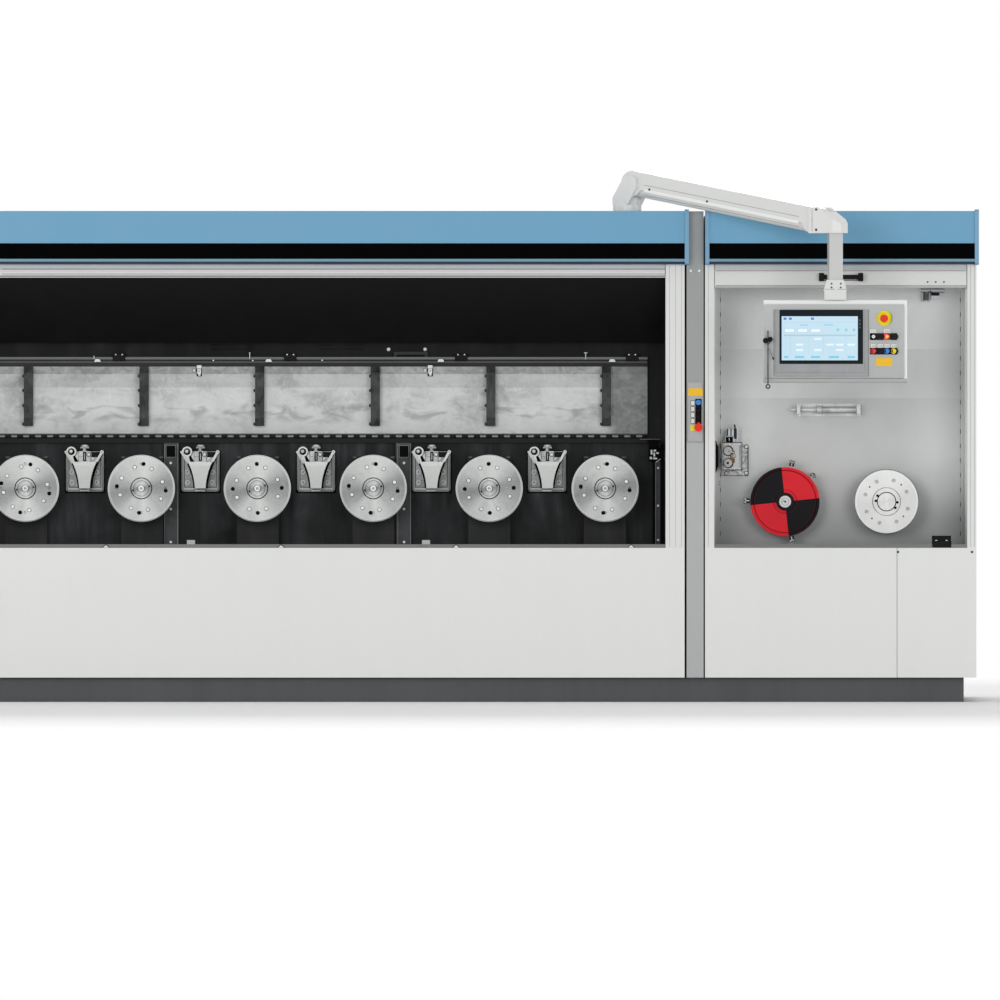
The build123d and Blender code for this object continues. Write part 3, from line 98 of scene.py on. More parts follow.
@dataclass(frozen=True)
class Sight:
    """Long lens in front of the machine, and the places that it sees."""

    eye: Point = (0.267, -60.8, 0.990)
    front_scale: float = 0.0049
    front_distance: float = 60.0
    middle: float = 500.0
    sensor: float = 36.0
    frame_width: float = 4.9
    far: float = 300.0

    def scale(self, y: float) -> float:
        """Metres per picture step on the upright plane at y."""
        return self.front_scale * (y - self.eye[1]) / self.front_distance

    def x(self, across: float, y: float) -> float:
        """X of a picture column on the plane at y."""
        return self.eye[0] + (across - self.middle) * self.scale(y)

    def z(self, down: float, y: float) -> float:
        """Z of a picture row on the plane at y."""
        return self.eye[2] + (self.middle - down) * self.scale(y)

    def at(self, across: float, down: float, y: float) -> Point:
        """Place of a picture column and row on the plane at y."""
        return (self.x(across, y), y, self.z(down, y))

    def place_camera(self) -> None:
        """Makes the camera and gives it to the scene."""
        data = bpy.data.cameras.new("front_camera")
        data.sensor_width = self.sensor
        data.lens = self.sensor * self.front_distance / self.frame_width
        data.clip_end = self.far
        camera = bpy.data.objects.new("front_camera", data)
        camera.location = self.eye
        camera.rotation_euler = (radians(90), 0.0, 0.0)
        bpy.context.scene.collection.objects.link(camera)
        bpy.context.scene.camera = camera


SIGHT = Sight()


def linear(colour: Colour, gain: float = 1.0) -> Tone:
    """Linear colour of a display colour.

    Args:
        colour: Red, green and blue from 0 to 255.
        gain: Factor on the linear values.

    Returns:
        Red, green, blue and alpha for a node socket.
    """
    parts = []
    for value in colour:
        share = value / 255
        flat = share / 12.92 if share <= 0.04045 else ((share + 0.055) / 1.055) ** 2.4
        parts.append(min(1.0, flat * gain))
    return (*parts, 1.0)


class NodeSheet:
    """Node tree of one finish, with short calls for the nodes that the finishes share."""

    def __init__(self, name: str) -> None:
        """Starts a material with a shader, an output and object coordinates.

        Args:
            name: Name of the material.
        """
        self.material = bpy.data.materials.new(name)
        self.material.use_nodes = True
        self.tree = self.material.node_tree
        self.tree.nodes.clear()
        self.shader = self.tree.nodes.new("ShaderNodeBsdfPrincipled")
        self.output = self.tree.nodes.new("ShaderNodeOutputMaterial")
        self.tree.links.new(self.shader.outputs[0], self.output.inputs[0])
        self.coords = self.tree.nodes.new("ShaderNodeTexCoord").outputs["Object"]

    def feed(self, socket: Socket, value: Value) -> None:
        """Links a socket to another one, or sets its value.

        Args:
            socket: Input that is fed.
            value: Output socket, number or linear colour.
        """
        if isinstance(value, Socket):
            self.tree.links.new(value, socket)
        elif isinstance(value, (int, float)) and hasattr(socket.default_value, "__len__"):
            socket.default_value = (value,) * 3 + (1.0,)
        else:
            socket.default_value = value

    def place(self, scale: Point = (1, 1, 1), shift: Point = (0, 0, 0), turn: float = 0.0) -> Socket:
        """Object coordinates, scaled, turned and shifted.

        Args:
            scale: Factor along each axis.
            shift: Way that the pattern is moved.
            turn: Turn about Y in degrees.

        Returns:
            The vector socket.
        """
        node = self.tree.nodes.new("ShaderNodeMapping")
        self.feed(node.inputs["Vector"], self.coords)
        node.inputs["Scale"].default_value = scale
        node.inputs["Location"].default_value = shift
        node.inputs["Rotation"].default_value = (0.0, radians(turn), 0.0)
        return node.outputs[0]

    def noise(self, vector: Socket, scale: float, detail: float = 3.0, warp: float = 0.0,
              rough: float = 0.55) -> Socket:
        """Cloudy noise between 0 and 1.

        Args:
            vector: Coordinates that the noise reads.
            scale: Size of the pattern, finer when larger.
            detail: Number of finer layers.
            warp: Distortion of the pattern.
            rough: Share of each finer layer.

        Returns:
            The value socket.
        """
        node = self.tree.nodes.new("ShaderNodeTexNoise")
        self.feed(node.inputs["Vector"], vector)
        for title, number in (("Scale", scale), ("Detail", detail), ("Roughness", rough),
                              ("Distortion", warp)):
            node.inputs[title].default_value = number
        return node.outputs["Fac"]

    def ramp(self, value: Socket, *stops: tuple[float, Tone]) -> Socket:
        """Colour ramp over a value.

        Args:
            value: Socket that the ramp reads.
            stops: Places from 0 to 1 with their linear colours.

        Returns:
            The colour socket.
        """
        node = self.tree.nodes.new("ShaderNodeValToRGB")
        self.feed(node.inputs[0], value)
        while len(node.color_ramp.elements) < len(stops):
            node.color_ramp.elements.new(1.0)
        for element, (place, colour) in zip(node.color_ramp.elements, stops):
            element.position = place
            element.color = colour
        return node.outputs[0]

    def blend(self, share: Value, first: Value, second: Value, kind: str = "MIX") -> Socket:
        """Mix of two colours.

        Args:
            share: Part of the second colour, from 0 to 1.
            first: Colour at share 0.
            second: Colour at share 1.
            kind: Blend type of the node.

        Returns:
            The colour socket.
        """
        node = self.tree.nodes.new("ShaderNodeMix")
        node.data_type = "RGBA"
        node.blend_type = kind
        node.clamp_result = True
        for number, value in ((0, share), (6, first), (7, second)):
            self.feed(node.inputs[number], value)
        return node.outputs[2]

    def shades(self, share: Value, colour: Colour, low: float, high: float) -> Socket:
        """Tones of one colour between a low and a high gain."""
        return self.blend(share, linear(colour, low), linear(colour, high))

    def veil(self, colour: Value, pattern: Socket, gain: float, low: float = 0.3,
             high: float = 0.7) -> Socket:
        """Colour that a pattern darkens down to a gain."""
        shade = self.ramp(pattern, (low, linear(WHITE, gain)), (high, linear(WHITE)))
        return self.blend(1.0, colour, shade, "MULTIPLY")

    def math(self, operation: str, first: Value, second: Value = 0.0) -> Socket:
        """Result of one arithmetic step.

        Args:
            operation: Operation of the node.
            first: First number.
            second: Second number.

        Returns:
            The value socket.
        """
        node = self.tree.nodes.new("ShaderNodeMath")
        node.operation = operation
        self.feed(node.inputs[0], first)
        self.feed(node.inputs[1], second)
        return node.outputs[0]

    def add(self, first: Value, second: Value) -> Socket:
        """Sum of two numbers."""
        return self.math("ADD", first, second)

    def less(self, first: Value, second: Value) -> Socket:
        """Difference of two numbers."""
        return self.math("SUBTRACT", first, second)

    def times(self, first: Value, second: Value) -> Socket:
        """Product of two numbers."""
        return self.math("MULTIPLY", first, second)

    def above(self, value: Socket, limit: float) -> Socket:
        """One where the value is over a limit, else zero."""
        return self.math("GREATER_THAN", value, limit)

    def below(self, value: Socket, limit: float) -> Socket:
        """One where the value is under a limit, else zero."""
        return self.math("LESS_THAN", value, limit)

    def inside(self, value: Socket, low: float, high: float) -> Socket:
        """One where the value lies between two limits, else zero."""
        return self.times(self.above(value, low), self.below(value, high))

    def stretch(self, value: Socket, low: float, high: float, to_low: float = 0.0,
                to_high: float = 1.0) -> Socket:
        """Value remapped from one range to another and kept inside it.

        Args:
            value: Socket that is remapped.
            low: Start of the range that is read.
            high: End of the range that is read.
            to_low: Result at the start.
            to_high: Result at the end.

        Returns:
            The value socket.
        """
        node = self.tree.nodes.new("ShaderNodeMapRange")
        self.feed(node.inputs[0], value)
        for socket, number in zip(node.inputs[1:5], (low, high, to_low, to_high)):
            socket.default_value = number
        return node.outputs[0]

    def rough(self, pattern: Socket, low: float, high: float) -> Socket:
        """Roughness that follows a noise pattern."""
        return self.stretch(pattern, 0.3, 0.7, low, high)

    def split(self, vector: Socket) -> tuple[Socket, Socket, Socket]:
        """X, Y and Z of a vector.

        Args:
            vector: Socket that is taken apart.

        Returns:
            The three value sockets.
        """
        node = self.tree.nodes.new("ShaderNodeSeparateXYZ")
        self.feed(node.inputs[0], vector)
        return node.outputs[0], node.outputs[1], node.outputs[2]

    def vector(self, first: Value, second: Value = 0.0) -> Socket:
        """Vector of one or two values, for patterns in rings or fans.

        Args:
            first: X of the vector.
            second: Y of the vector.

        Returns:
            The vector socket.
        """
        node = self.tree.nodes.new("ShaderNodeCombineXYZ")
        self.feed(node.inputs[0], first)
        self.feed(node.inputs[1], second)
        return node.outputs[0]

    def polar(self, x: float, z: float) -> tuple[Socket, Socket, Socket]:
        """Distance from an axis along Y, and the direction from it.

        Args:
            x: X of the axis.
            z: Z of the axis.

        Returns:
            Sockets of the distance, and of the direction's cosine and sine.
        """
        across, _, up = self.split(self.place(shift=(-x, 0, -z)))
        distance = self.math("SQRT", self.add(self.times(across, across), self.times(up, up)))
        reach = self.add(distance, 1e-6)
        return distance, self.math("DIVIDE", across, reach), self.math("DIVIDE", up, reach)

    def relief(self, height: Socket, strength: float, distance: float) -> None:
        """Bump on the shader.

        Args:
            height: Pattern of the bump.
            strength: Strength of the bump.
            distance: Depth of the bump in metres.
        """
        node = self.tree.nodes.new("ShaderNodeBump")
        node.inputs["Strength"].default_value = strength
        node.inputs["Distance"].default_value = distance
        self.feed(node.inputs["Height"], height)
        self.feed(self.shader.inputs["Normal"], node.outputs[0])

    def peel(self, strength: float, distance: float = 0.0006) -> None:
        """Orange peel of sprayed paint."""
        self.relief(self.noise(self.place(), 420.0, 2), strength, distance)

    def dress(self, colour: Value, roughness: Value, metal: float = 0.0, gloss: float = 0.5) -> None:
        """Sets the shader.

        Args:
            colour: Base colour.
            roughness: Roughness from 0 to 1.
            metal: Share of metal.
            gloss: Specular level.
        """
        for title, value in (("Specular IOR Level", gloss), ("Base Color", colour), ("Roughness", roughness),
                             ("Metallic", metal)):
            self.feed(self.shader.inputs[title], value)


@dataclass(frozen=True)
class Finish:
    """Finish of a surface."""

    name: str

    @cache
    def material(self) -> bpy.types.Material:
        """Builds the finish on first use.

        Returns:
            Its material.
        """
        sheet = NodeSheet(self.name)
        self.paint(sheet)
        return sheet.material

    def paint(self, sheet: NodeSheet) -> None:
        """Draws the finish on its sheet, which each kind of finish does in its own way."""
        raise NotImplementedError(self.name)


@dataclass(frozen=True)
class SprayedPaint(Finish):
    """Sprayed sheet metal: even tone with faint clouds, streaks and orange peel."""

    colour: Colour
    clouds: float = 0.05
    streaks: float = 0.03
    roughness: float = 0.42

    def paint(self, sheet: NodeSheet) -> None:
        """Draws the finish.

        Args:
            sheet: Node tree of the material.
        """
        cloud = sheet.noise(sheet.place(), 1.7, 5)
        streak = sheet.noise(sheet.place((9, 9, 0.6)), 2.0, 4)
        base = sheet.shades(cloud, self.colour, 1 - self.clouds, 1 + self.clouds)
        sheet.peel(0.05)
        sheet.dress(sheet.veil(base, streak, 1 - self.streaks, 0.35, 0.6),
                    sheet.rough(cloud, self.roughness - 0.05, self.roughness + 0.06))


@dataclass(frozen=True)
class BandedPaint(Finish):
    """Sprayed paint whose tone changes over flat bands of height."""

    bands: tuple[tuple[float, Colour], ...]
    roughness: float = 0.38
    gloss: float = 0.4

    def paint(self, sheet: NodeSheet) -> None:
        """Draws the finish from the lowest band to the highest.

        Args:
            sheet: Node tree of the material.
        """
        up = sheet.split(sheet.coords)[2]
        colour = linear(self.bands[0][1])
        for low, tone in self.bands[1:]:
            colour = sheet.blend(sheet.above(up, low), colour, linear(tone))
        cloud = sheet.noise(sheet.place((1, 1, 0.4)), 2.4, 5)
        sheet.peel(0.05)
        sheet.dress(sheet.veil(colour, cloud, 0.94),
                    sheet.rough(cloud, self.roughness - 0.05, self.roughness + 0.06), gloss=self.gloss)


@dataclass(frozen=True)
class OilyBlack(Finish):
    """Black paint inside the drawing chamber, with drawing soap and oil smeared on it."""

    colour: Colour
    haze: Colour
    amount: float = 0.35
    upper: Colour | None = None
    upper_z: float = 1.5
    gloss: float = 0.14

    def paint(self, sheet: NodeSheet) -> None:
        """Draws the finish.

        Args:
            sheet: Node tree of the material.
        """
        run = sheet.noise(sheet.place((3.5, 3.5, 0.5)), 3.0, 6, 0.4)
        cloud = sheet.noise(sheet.place(), 2.2, 4, 0.8)
        haze = sheet.times(sheet.stretch(run, 0.42, 0.75), sheet.stretch(cloud, 0.35, 0.7))
        colour = sheet.blend(sheet.times(haze, self.amount), linear(self.colour), linear(self.haze))
        if self.upper:
            dark = sheet.stretch(sheet.split(sheet.coords)[2], self.upper_z - 0.25, self.upper_z + 0.25)
            colour = sheet.blend(dark, colour, linear(self.upper))
        sheet.relief(sheet.noise(sheet.place(), 300.0), 0.08, 0.0008)
        sheet.dress(colour, sheet.rough(run, 0.34, 0.62), gloss=self.gloss)


@dataclass(frozen=True)
class RoughSteel(Finish):
    """Steel with grain, dull patches and paler edges of wear."""

    dark: Colour
    light: Colour
    metal: float = 0.5
    roughness: float = 0.42
    grain: Point = (40, 40, 40)
    gloss: float = 0.4

    def paint(self, sheet: NodeSheet) -> None:
        """Draws the finish.

        Args:
            sheet: Node tree of the material.
        """
        patch = sheet.noise(sheet.place(), 14.0, 5, 0.5)
        grain = sheet.noise(sheet.place(self.grain), 8.0)
        mixed = sheet.add(sheet.times(patch, 0.7), sheet.times(grain, 0.3))
        colour = sheet.ramp(mixed, (0.32, linear(self.dark)), (0.66, linear(self.light)))
        sheet.relief(grain, 0.12, 0.0006)
        sheet.dress(colour, sheet.rough(patch, self.roughness - 0.08, self.roughness + 0.1), self.metal,
                    self.gloss)


@dataclass(frozen=True)
class TurnedSteelWithHighlights(Finish):
    """Lathe-turned face: fine rings, with painted highlights: bright and dull sectors that fan out from the
    axis, and a bright line along the rim's edge.
    """

    axis: Pair
    dull: Colour
    bright: Colour
    fan: float = 1.1
    highlight_swing: float = 0.5
    metal: float = 0.35
    rim: float = 0.165

    def paint(self, sheet: NodeSheet) -> None:
        """Draws the finish.

        Args:
            sheet: Node tree of the material.
        """
        distance, cosine, sine = sheet.polar(*self.axis)
        spread = sheet.vector(sheet.times(cosine, self.fan), sheet.times(sine, self.fan))
        fan = sheet.noise(spread, 1.0, 1, rough=0.5)
        rings = sheet.noise(sheet.vector(sheet.times(distance, 900.0)), 1.0, 2)
        smear = sheet.noise(sheet.place(), 11.0, 6, 1.0)
        speckle = sheet.noise(sheet.place(), 160.0, 2)
        # Painted highlight: brighter above and below the axis and duller to its sides, with a noisy fan round
        # it.
        bow_tie_highlight = sheet.less(sheet.times(sine, sine), sheet.times(cosine, cosine))
        level = sheet.stretch(bow_tie_highlight, -1.0, 1.0, 0.5 - self.highlight_swing / 2, 0.5 + self.highlight_swing / 2)
        for pattern, share in ((fan, 0.7), (rings, 0.14), (smear, 0.45), (speckle, 0.3)):
            level = sheet.add(level, sheet.times(sheet.less(pattern, 0.5), share))
        colour = sheet.ramp(level, (0.1, linear(self.dull)), (0.9, linear(self.bright)))
        # Painted highlight: a bright line along the rim's edge.
        edge = sheet.stretch(distance, self.rim - 0.011, self.rim - 0.003)
        colour = sheet.blend(edge, colour, linear(self.bright, 1.12))
        sheet.relief(rings, 0.1, 0.0004)
        sheet.dress(colour, sheet.rough(smear, 0.34, 0.48), self.metal, 0.3)


@dataclass(frozen=True)
class SmearedShadedSheet(Finish):
    """Bare steel sheet of the tilt cover: wiped clouds, a darker band along its top that is painted shade
    above the sheet's fold, and darker low down.
    """

    base: Colour
    dull: Colour
    band_low: float
    band: Colour
    end_x: float
    end: Colour
    foot: float = 1.318
    blot_rows: Pair = (1.385, 1.45)
    bead: Pair = (1.3005, 1.3095)
    foot_tone: Colour = (52, 53, 53)
    bead_tone: Colour = (124, 126, 125)

    def marks(self, sheet: NodeSheet, colour: Socket, up: Socket) -> Socket:
        """Adds wiped blots low down and pale strokes above them.

        Args:
            sheet: Node tree of the material.
            colour: Colour so far.
            up: Height of each place.

        Returns:
            The colour with its marks.
        """
        low, high = self.blot_rows
        blots = sheet.noise(sheet.place((1.9, 1, 5.2), turn=8), 3.4, 2, 0.9)
        near = sheet.times(sheet.stretch(up, low - 0.02, low + 0.01),
                           sheet.stretch(up, high, high + 0.02, 1.0, 0.25))
        blotted = sheet.times(near, sheet.stretch(blots, 0.49, 0.64))
        colour = sheet.blend(sheet.times(blotted, 0.7), colour, linear(self.dull, 0.8))
        strokes = sheet.noise(sheet.place((6.0, 1, 3.2), turn=24), 5.0, 3, 2.6)
        marks = sheet.times(sheet.stretch(up, 1.44, 1.56, 0.3, 1.0), sheet.stretch(strokes, 0.56, 0.64))
        return sheet.blend(sheet.times(marks, 0.45), colour, linear(self.base, 1.26))

    def paint(self, sheet: NodeSheet) -> None:
        """Draws the finish.

        Args:
            sheet: Node tree of the material.
        """
        across, _, up = sheet.split(sheet.coords)
        wipe = sheet.noise(sheet.place((1.4, 1, 1.8)), 2.4, 4, 0.6)
        fine = sheet.noise(sheet.place((3.0, 1, 4.0)), 6.0, 6, 1.2)
        level = sheet.add(sheet.times(wipe, 0.7), sheet.times(fine, 0.3))
        colour = sheet.ramp(level, (0.34, linear(self.dull)), (0.5, linear(self.base)),
                            (0.68, linear(self.base, 1.12)))
        colour = self.marks(sheet, colour, up)
        low = sheet.times(sheet.stretch(up, self.foot, 1.34, 1.0, 0.0), sheet.stretch(fine, 0.44, 0.6))
        # Painted shade: darker above the fold at band_low, and a little darker in a strip just below it.
        band = sheet.times(sheet.above(up, self.band_low), sheet.stretch(fine, 0.3, 0.7, 1.0, 0.55))
        end = sheet.times(sheet.stretch(across, self.end_x - 0.2, self.end_x - 0.15),
                          sheet.stretch(fine, 0.3, 0.7, 1.0, 0.7))
        for share, tone in ((sheet.times(low, 0.5), linear(self.dull, 0.5)),
                            (sheet.stretch(up, 1.34, 1.43, 0.34, 0.0), linear(self.dull)),
                            (band, linear(self.band)),
                            (sheet.times(sheet.inside(up, 1.545, self.band_low), 0.35),
                             linear(self.band, 1.25)),
                            (end, linear(self.end)),
                            (sheet.below(up, self.foot), linear(self.foot_tone)),
                            (sheet.inside(up, *self.bead), linear(self.bead_tone))):
            colour = sheet.blend(share, colour, tone)
        sheet.relief(fine, 0.1, 0.002)
        sheet.dress(colour, sheet.stretch(level, 0.35, 0.7, 0.55, 0.42), 0.15, 0.35)


@dataclass(frozen=True)
class ChamberWall(Finish):
    """Grey paint of the take-up chamber with painted light and shade: lighter going up and towards its sides,
    darker near the floor, with rubbed clouds.
    """

    top: Colour
    middle: Colour
    low: Colour
    span: Pair = (0.70, 2.05)
    steps: Pair = (1.493, 1.735)
    centre: float = 1.937

    def paint(self, sheet: NodeSheet) -> None:
        """Draws the finish.

        Args:
            sheet: Node tree of the material.
        """
        across, _, up = sheet.split(sheet.coords)
        # Painted shade and light: darkest near the floor, lighter in steps going up.
        colour = sheet.ramp(sheet.stretch(up, *self.span), (0.0, linear(self.low, 0.8)),
                            (0.1, linear(self.low)), (0.34, linear(self.middle)))
        for level, share in zip(self.steps, (0.45, 1.0)):
            colour = sheet.blend(sheet.times(sheet.above(up, level), share), colour, linear(self.top))
        # Painted light: lighter towards the chamber's sides above about one metre.
        away = sheet.math("ABSOLUTE", sheet.less(across, self.centre))
        side = sheet.times(sheet.stretch(away, 0.3, 0.62, 0.0, 0.75), sheet.stretch(up, 0.9, 1.2))
        colour = sheet.blend(side, colour, linear(self.top, 1.08))
        cloud = sheet.noise(sheet.place((1, 1, 0.8)), 2.6, 5, 0.9)
        sheet.peel(0.05)
        sheet.dress(sheet.veil(colour, cloud, 0.86), sheet.rough(cloud, 0.36, 0.5))


@dataclass(frozen=True)
class QuarteredPaint(Finish):
    """Two-coloured sheave: red and black quarters, black hub ring and a turned steel cap."""

    axis: Pair
    red: Colour
    black: Colour
    steel: Colour
    hub: float
    cap: float
    turn: float
    groove: Pair = (0.151, 0.1535)
    groove_tone: Colour = (96, 14, 20)
    hub_tone: Colour = (84, 12, 18)

    def paint(self, sheet: NodeSheet) -> None:
        """Draws the finish.

        Args:
            sheet: Node tree of the material.
        """
        distance, cosine, sine = sheet.polar(*self.axis)
        turn_cos, turn_sin = cos(radians(self.turn)), sin(radians(self.turn))
        first = sheet.add(sheet.times(cosine, turn_cos), sheet.times(sine, turn_sin))
        second = sheet.less(sheet.times(sine, turn_cos), sheet.times(cosine, turn_sin))
        cloud = sheet.noise(sheet.place(), 8.0, 5, 0.5)
        colour = sheet.blend(sheet.above(sheet.times(first, second), 0.0),
                             sheet.shades(cloud, self.black, 0.8, 1.4),
                             sheet.shades(cloud, self.red, 0.86, 1.12))
        rings = sheet.noise(sheet.vector(sheet.times(distance, 700.0)), 1.0, 2)
        for share, tone in ((sheet.inside(distance, *self.groove), linear(self.groove_tone)),
                            (sheet.inside(distance, self.hub * 1.28, self.hub * 1.33), linear(self.hub_tone)),
                            (sheet.below(distance, self.hub), linear(self.black, 1.3)),
                            (sheet.below(distance, self.cap), sheet.shades(rings, self.steel, 0.75, 1.1))):
            colour = sheet.blend(share, colour, tone)
        sheet.relief(cloud, 0.06, 0.001)
        sheet.dress(colour, sheet.rough(cloud, 0.38, 0.5), gloss=0.05)


@dataclass(frozen=True)
class CastFunnel(Finish):
    """Pale cast horn with light front faces, and near-black sides behind them that are painted shade."""

    face: Colour
    cheek: Colour
    front_y: float
    arm_y: float
    top_z: float

    def paint(self, sheet: NodeSheet) -> None:
        """Draws the finish.

        Args:
            sheet: Node tree of the material.
        """
        _, deep, up = sheet.split(sheet.coords)
        # Painted shade: faces behind the front, and behind the arms above the top, take the near-black cheek
        # colour.
        low = sheet.times(sheet.above(deep, self.front_y), sheet.below(up, self.top_z))
        high = sheet.times(sheet.above(deep, self.arm_y), sheet.above(up, self.top_z))
        patch = sheet.noise(sheet.place(), 16.0, 4, 0.5)
        colour = sheet.blend(sheet.math("MAXIMUM", low, high), sheet.shades(patch, self.face, 0.9, 1.06),
                             sheet.shades(patch, self.cheek, 0.7, 1.6))
        sheet.relief(sheet.noise(sheet.place(), 90.0), 0.1, 0.0005)
        sheet.dress(colour, sheet.rough(patch, 0.44, 0.58), gloss=0.25)


@dataclass(frozen=True)
class HolderPlate(Finish):
    """Steel plates in a row: a pale border that is a painted highlight on the chamfered edge, a dark line and
    a mottled inner field on each.
    """

    first: float
    pitch: float
    border: Colour
    inner: Colour
    line: Colour
    half: float
    foot: float

    def paint(self, sheet: NodeSheet) -> None:
        """Draws the finish.

        Args:
            sheet: Node tree of the material.
        """
        across, _, up = sheet.split(sheet.coords)
        turn = sheet.math("FLOORED_MODULO", sheet.less(across, self.first - self.pitch / 2), self.pitch)
        away = sheet.math("ABSOLUTE", sheet.less(turn, self.pitch / 2))
        patch = sheet.noise(sheet.place(), 26.0, 5, 0.6)
        colour = sheet.ramp(patch, (0.34, linear(self.inner, 0.72)), (0.64, linear(self.inner, 1.25)))
        # Painted highlight: the pale border stands for light on each plate's chamfered edge.
        border = sheet.shades(patch, self.border, 0.8, 1.15)
        for margin, tone in ((0.0, linear(self.line)), (0.0045, border)):
            outside = sheet.math("MAXIMUM", sheet.above(away, self.half + margin),
                                 sheet.below(up, self.foot - margin))
            colour = sheet.blend(outside, colour, tone)
        sheet.relief(patch, 0.12, 0.001)
        sheet.dress(colour, sheet.rough(patch, 0.4, 0.55), 0.1, 0.25)


@dataclass(frozen=True)
class BoredBlock(Finish):
    """Milled block on a worn plate, with worn brass in the bores round the rollers."""

    face: Colour
    bore: Colour
    axes: tuple[Pair, ...]
    reach: float
    face_y: float
    plate_y: float = -0.41
    plate: tuple[Colour, Colour] = ((122, 124, 124), (206, 208, 207))

    def paint(self, sheet: NodeSheet) -> None:
        """Draws the finish.

        Args:
            sheet: Node tree of the material.
        """
        deep = sheet.split(sheet.coords)[1]
        grain = sheet.noise(sheet.place((2, 40, 90)), 6.0)
        worn = sheet.noise(sheet.place(), 60.0, 4, 0.6)
        plate = sheet.ramp(worn, (0.35, linear(self.plate[0])), (0.62, linear(self.plate[1])))
        face = sheet.shades(grain, self.face, 0.88, 1.08)
        colour = sheet.blend(sheet.above(deep, self.plate_y), face, plate)
        brass = sheet.shades(worn, self.bore, 0.6, 1.3)
        for axis in self.axes:
            near = sheet.times(sheet.below(sheet.polar(*axis)[0], self.reach), sheet.above(deep, self.face_y))
            colour = sheet.blend(near, colour, brass)
        sheet.relief(grain, 0.1, 0.0005)
        sheet.dress(colour, sheet.rough(grain, 0.32, 0.44), 0.2, 0.3)


@dataclass(frozen=True)
class Spot:
    """Coloured disc on a piece, seen from the front."""

    across: float
    down: float
    y: float
    reach: float
    colour: Colour


@dataclass(frozen=True)
class SpottedPlastic(Finish):
    """Moulded plastic whose colour changes from one button or fitting to the next."""

    base: Colour
    spots: tuple[Spot, ...]

    def paint(self, sheet: NodeSheet) -> None:
        """Draws the finish.

        Args:
            sheet: Node tree of the material.
        """
        colour = linear(self.base)
        for spot in self.spots:
            distance = sheet.polar(SIGHT.x(spot.across, spot.y), SIGHT.z(spot.down, spot.y))[0]
            colour = sheet.blend(sheet.below(distance, spot.reach), colour, linear(spot.colour))
        grain = sheet.noise(sheet.place(), 500.0, 2)
        sheet.relief(grain, 0.04, 0.0004)
        sheet.dress(sheet.veil(colour, grain, 0.93), sheet.rough(grain, 0.28, 0.37), gloss=0.08)


@dataclass(frozen=True)
class MouldedPlastic(Finish):
    """Plain moulded plastic or enamel with a fine grain."""

    colour: Colour
    roughness: float = 0.35
    gloss: float = 0.4

    def paint(self, sheet: NodeSheet) -> None:
        """Draws the finish.

        Args:
            sheet: Node tree of the material.
        """
        grain = sheet.noise(sheet.place(), 380.0)
        sheet.relief(grain, 0.05, 0.0004)
        sheet.dress(sheet.shades(grain, self.colour, 0.88, 1.1),
                    sheet.rough(grain, self.roughness - 0.05, self.roughness + 0.06), gloss=self.gloss)


@dataclass(frozen=True)
class ScreenGlow(Finish):
    """Lit page of the display, or a lit lamp."""

    colour: Colour
    strength: float = 0.9
    unlit: Colour = (90, 90, 90)

    def paint(self, sheet: NodeSheet) -> None:
        """Draws the finish.

        Args:
            sheet: Node tree of the material.
        """
        glow = sheet.shades(sheet.noise(sheet.place(), 6.0, 2), self.colour, 0.94, 1.05)
        sheet.feed(sheet.shader.inputs["Emission Color"], glow)
        sheet.shader.inputs["Emission Strength"].default_value = self.strength
        sheet.dress(sheet.blend(1.0, glow, linear(self.unlit), "MULTIPLY"), 0.3)


@dataclass(frozen=True)
class FrontTone(Finish):
    """Paint of the operator panel: the front plate is a tone darker than its housing, and the housing below
    its lower lip takes the plate's tone as painted shadow.
    """

    plate: Colour
    housing: Colour
    plate_y: float
    lip_shadow_z: float = 1.5795

    def paint(self, sheet: NodeSheet) -> None:
        """Draws the finish.

        Args:
            sheet: Node tree of the material.
        """
        _, deep, up = sheet.split(sheet.coords)
        brushed = sheet.noise(sheet.place((1, 30, 60)), 4.0)
        fade = sheet.ramp(sheet.stretch(up, 1.56, 1.95, 0.88, 1.04), (0.0, (0, 0, 0, 1)), (1.0, (1, 1, 1, 1)))
        plate = sheet.blend(1.0, sheet.shades(brushed, self.plate, 0.95, 1.05), fade, "MULTIPLY")
        cloud = sheet.noise(sheet.place(), 3.0, 4)
        # Painted shadow: the housing below the lip takes the plate's darker tone.
        housing = sheet.blend(sheet.below(up, self.lip_shadow_z), sheet.shades(cloud, self.housing, 0.94, 1.03),
                              linear(self.plate, 1.02))
        sheet.peel(0.04, 0.0005)
        sheet.dress(sheet.blend(sheet.below(deep, self.plate_y), housing, plate),
                    sheet.rough(cloud, 0.36, 0.46))


@dataclass(frozen=True)
class PaleFloor(Finish):
    """Pale floor that runs out to white with distance, for the camera only."""

    colour: Colour
    start: float
    end: float

    def paint(self, sheet: NodeSheet) -> None:
        """Draws the finish.

        Args:
            sheet: Node tree of the material.
        """
        across, deep, _ = sheet.split(sheet.coords)
        flat = sheet.times(across, 0.7)
        distance = sheet.math("SQRT", sheet.add(sheet.times(flat, flat), sheet.times(deep, deep)))
        path = sheet.tree.nodes.new("ShaderNodeLightPath")
        white = sheet.tree.nodes.new("ShaderNodeEmission")
        mix = sheet.tree.nodes.new("ShaderNodeMixShader")
        fade = sheet.times(sheet.stretch(distance, self.start, self.end), path.outputs["Is Camera Ray"])
        for socket, value in zip(mix.inputs, (fade, sheet.shader.outputs[0], white.outputs[0])):
            sheet.feed(socket, value)
        sheet.feed(sheet.output.inputs[0], mix.outputs[0])
        cloud = sheet.noise(sheet.place(), 0.8, 2)
        sheet.dress(sheet.shades(cloud, self.colour, 0.98, 1.0), 0.8, gloss=0.1)


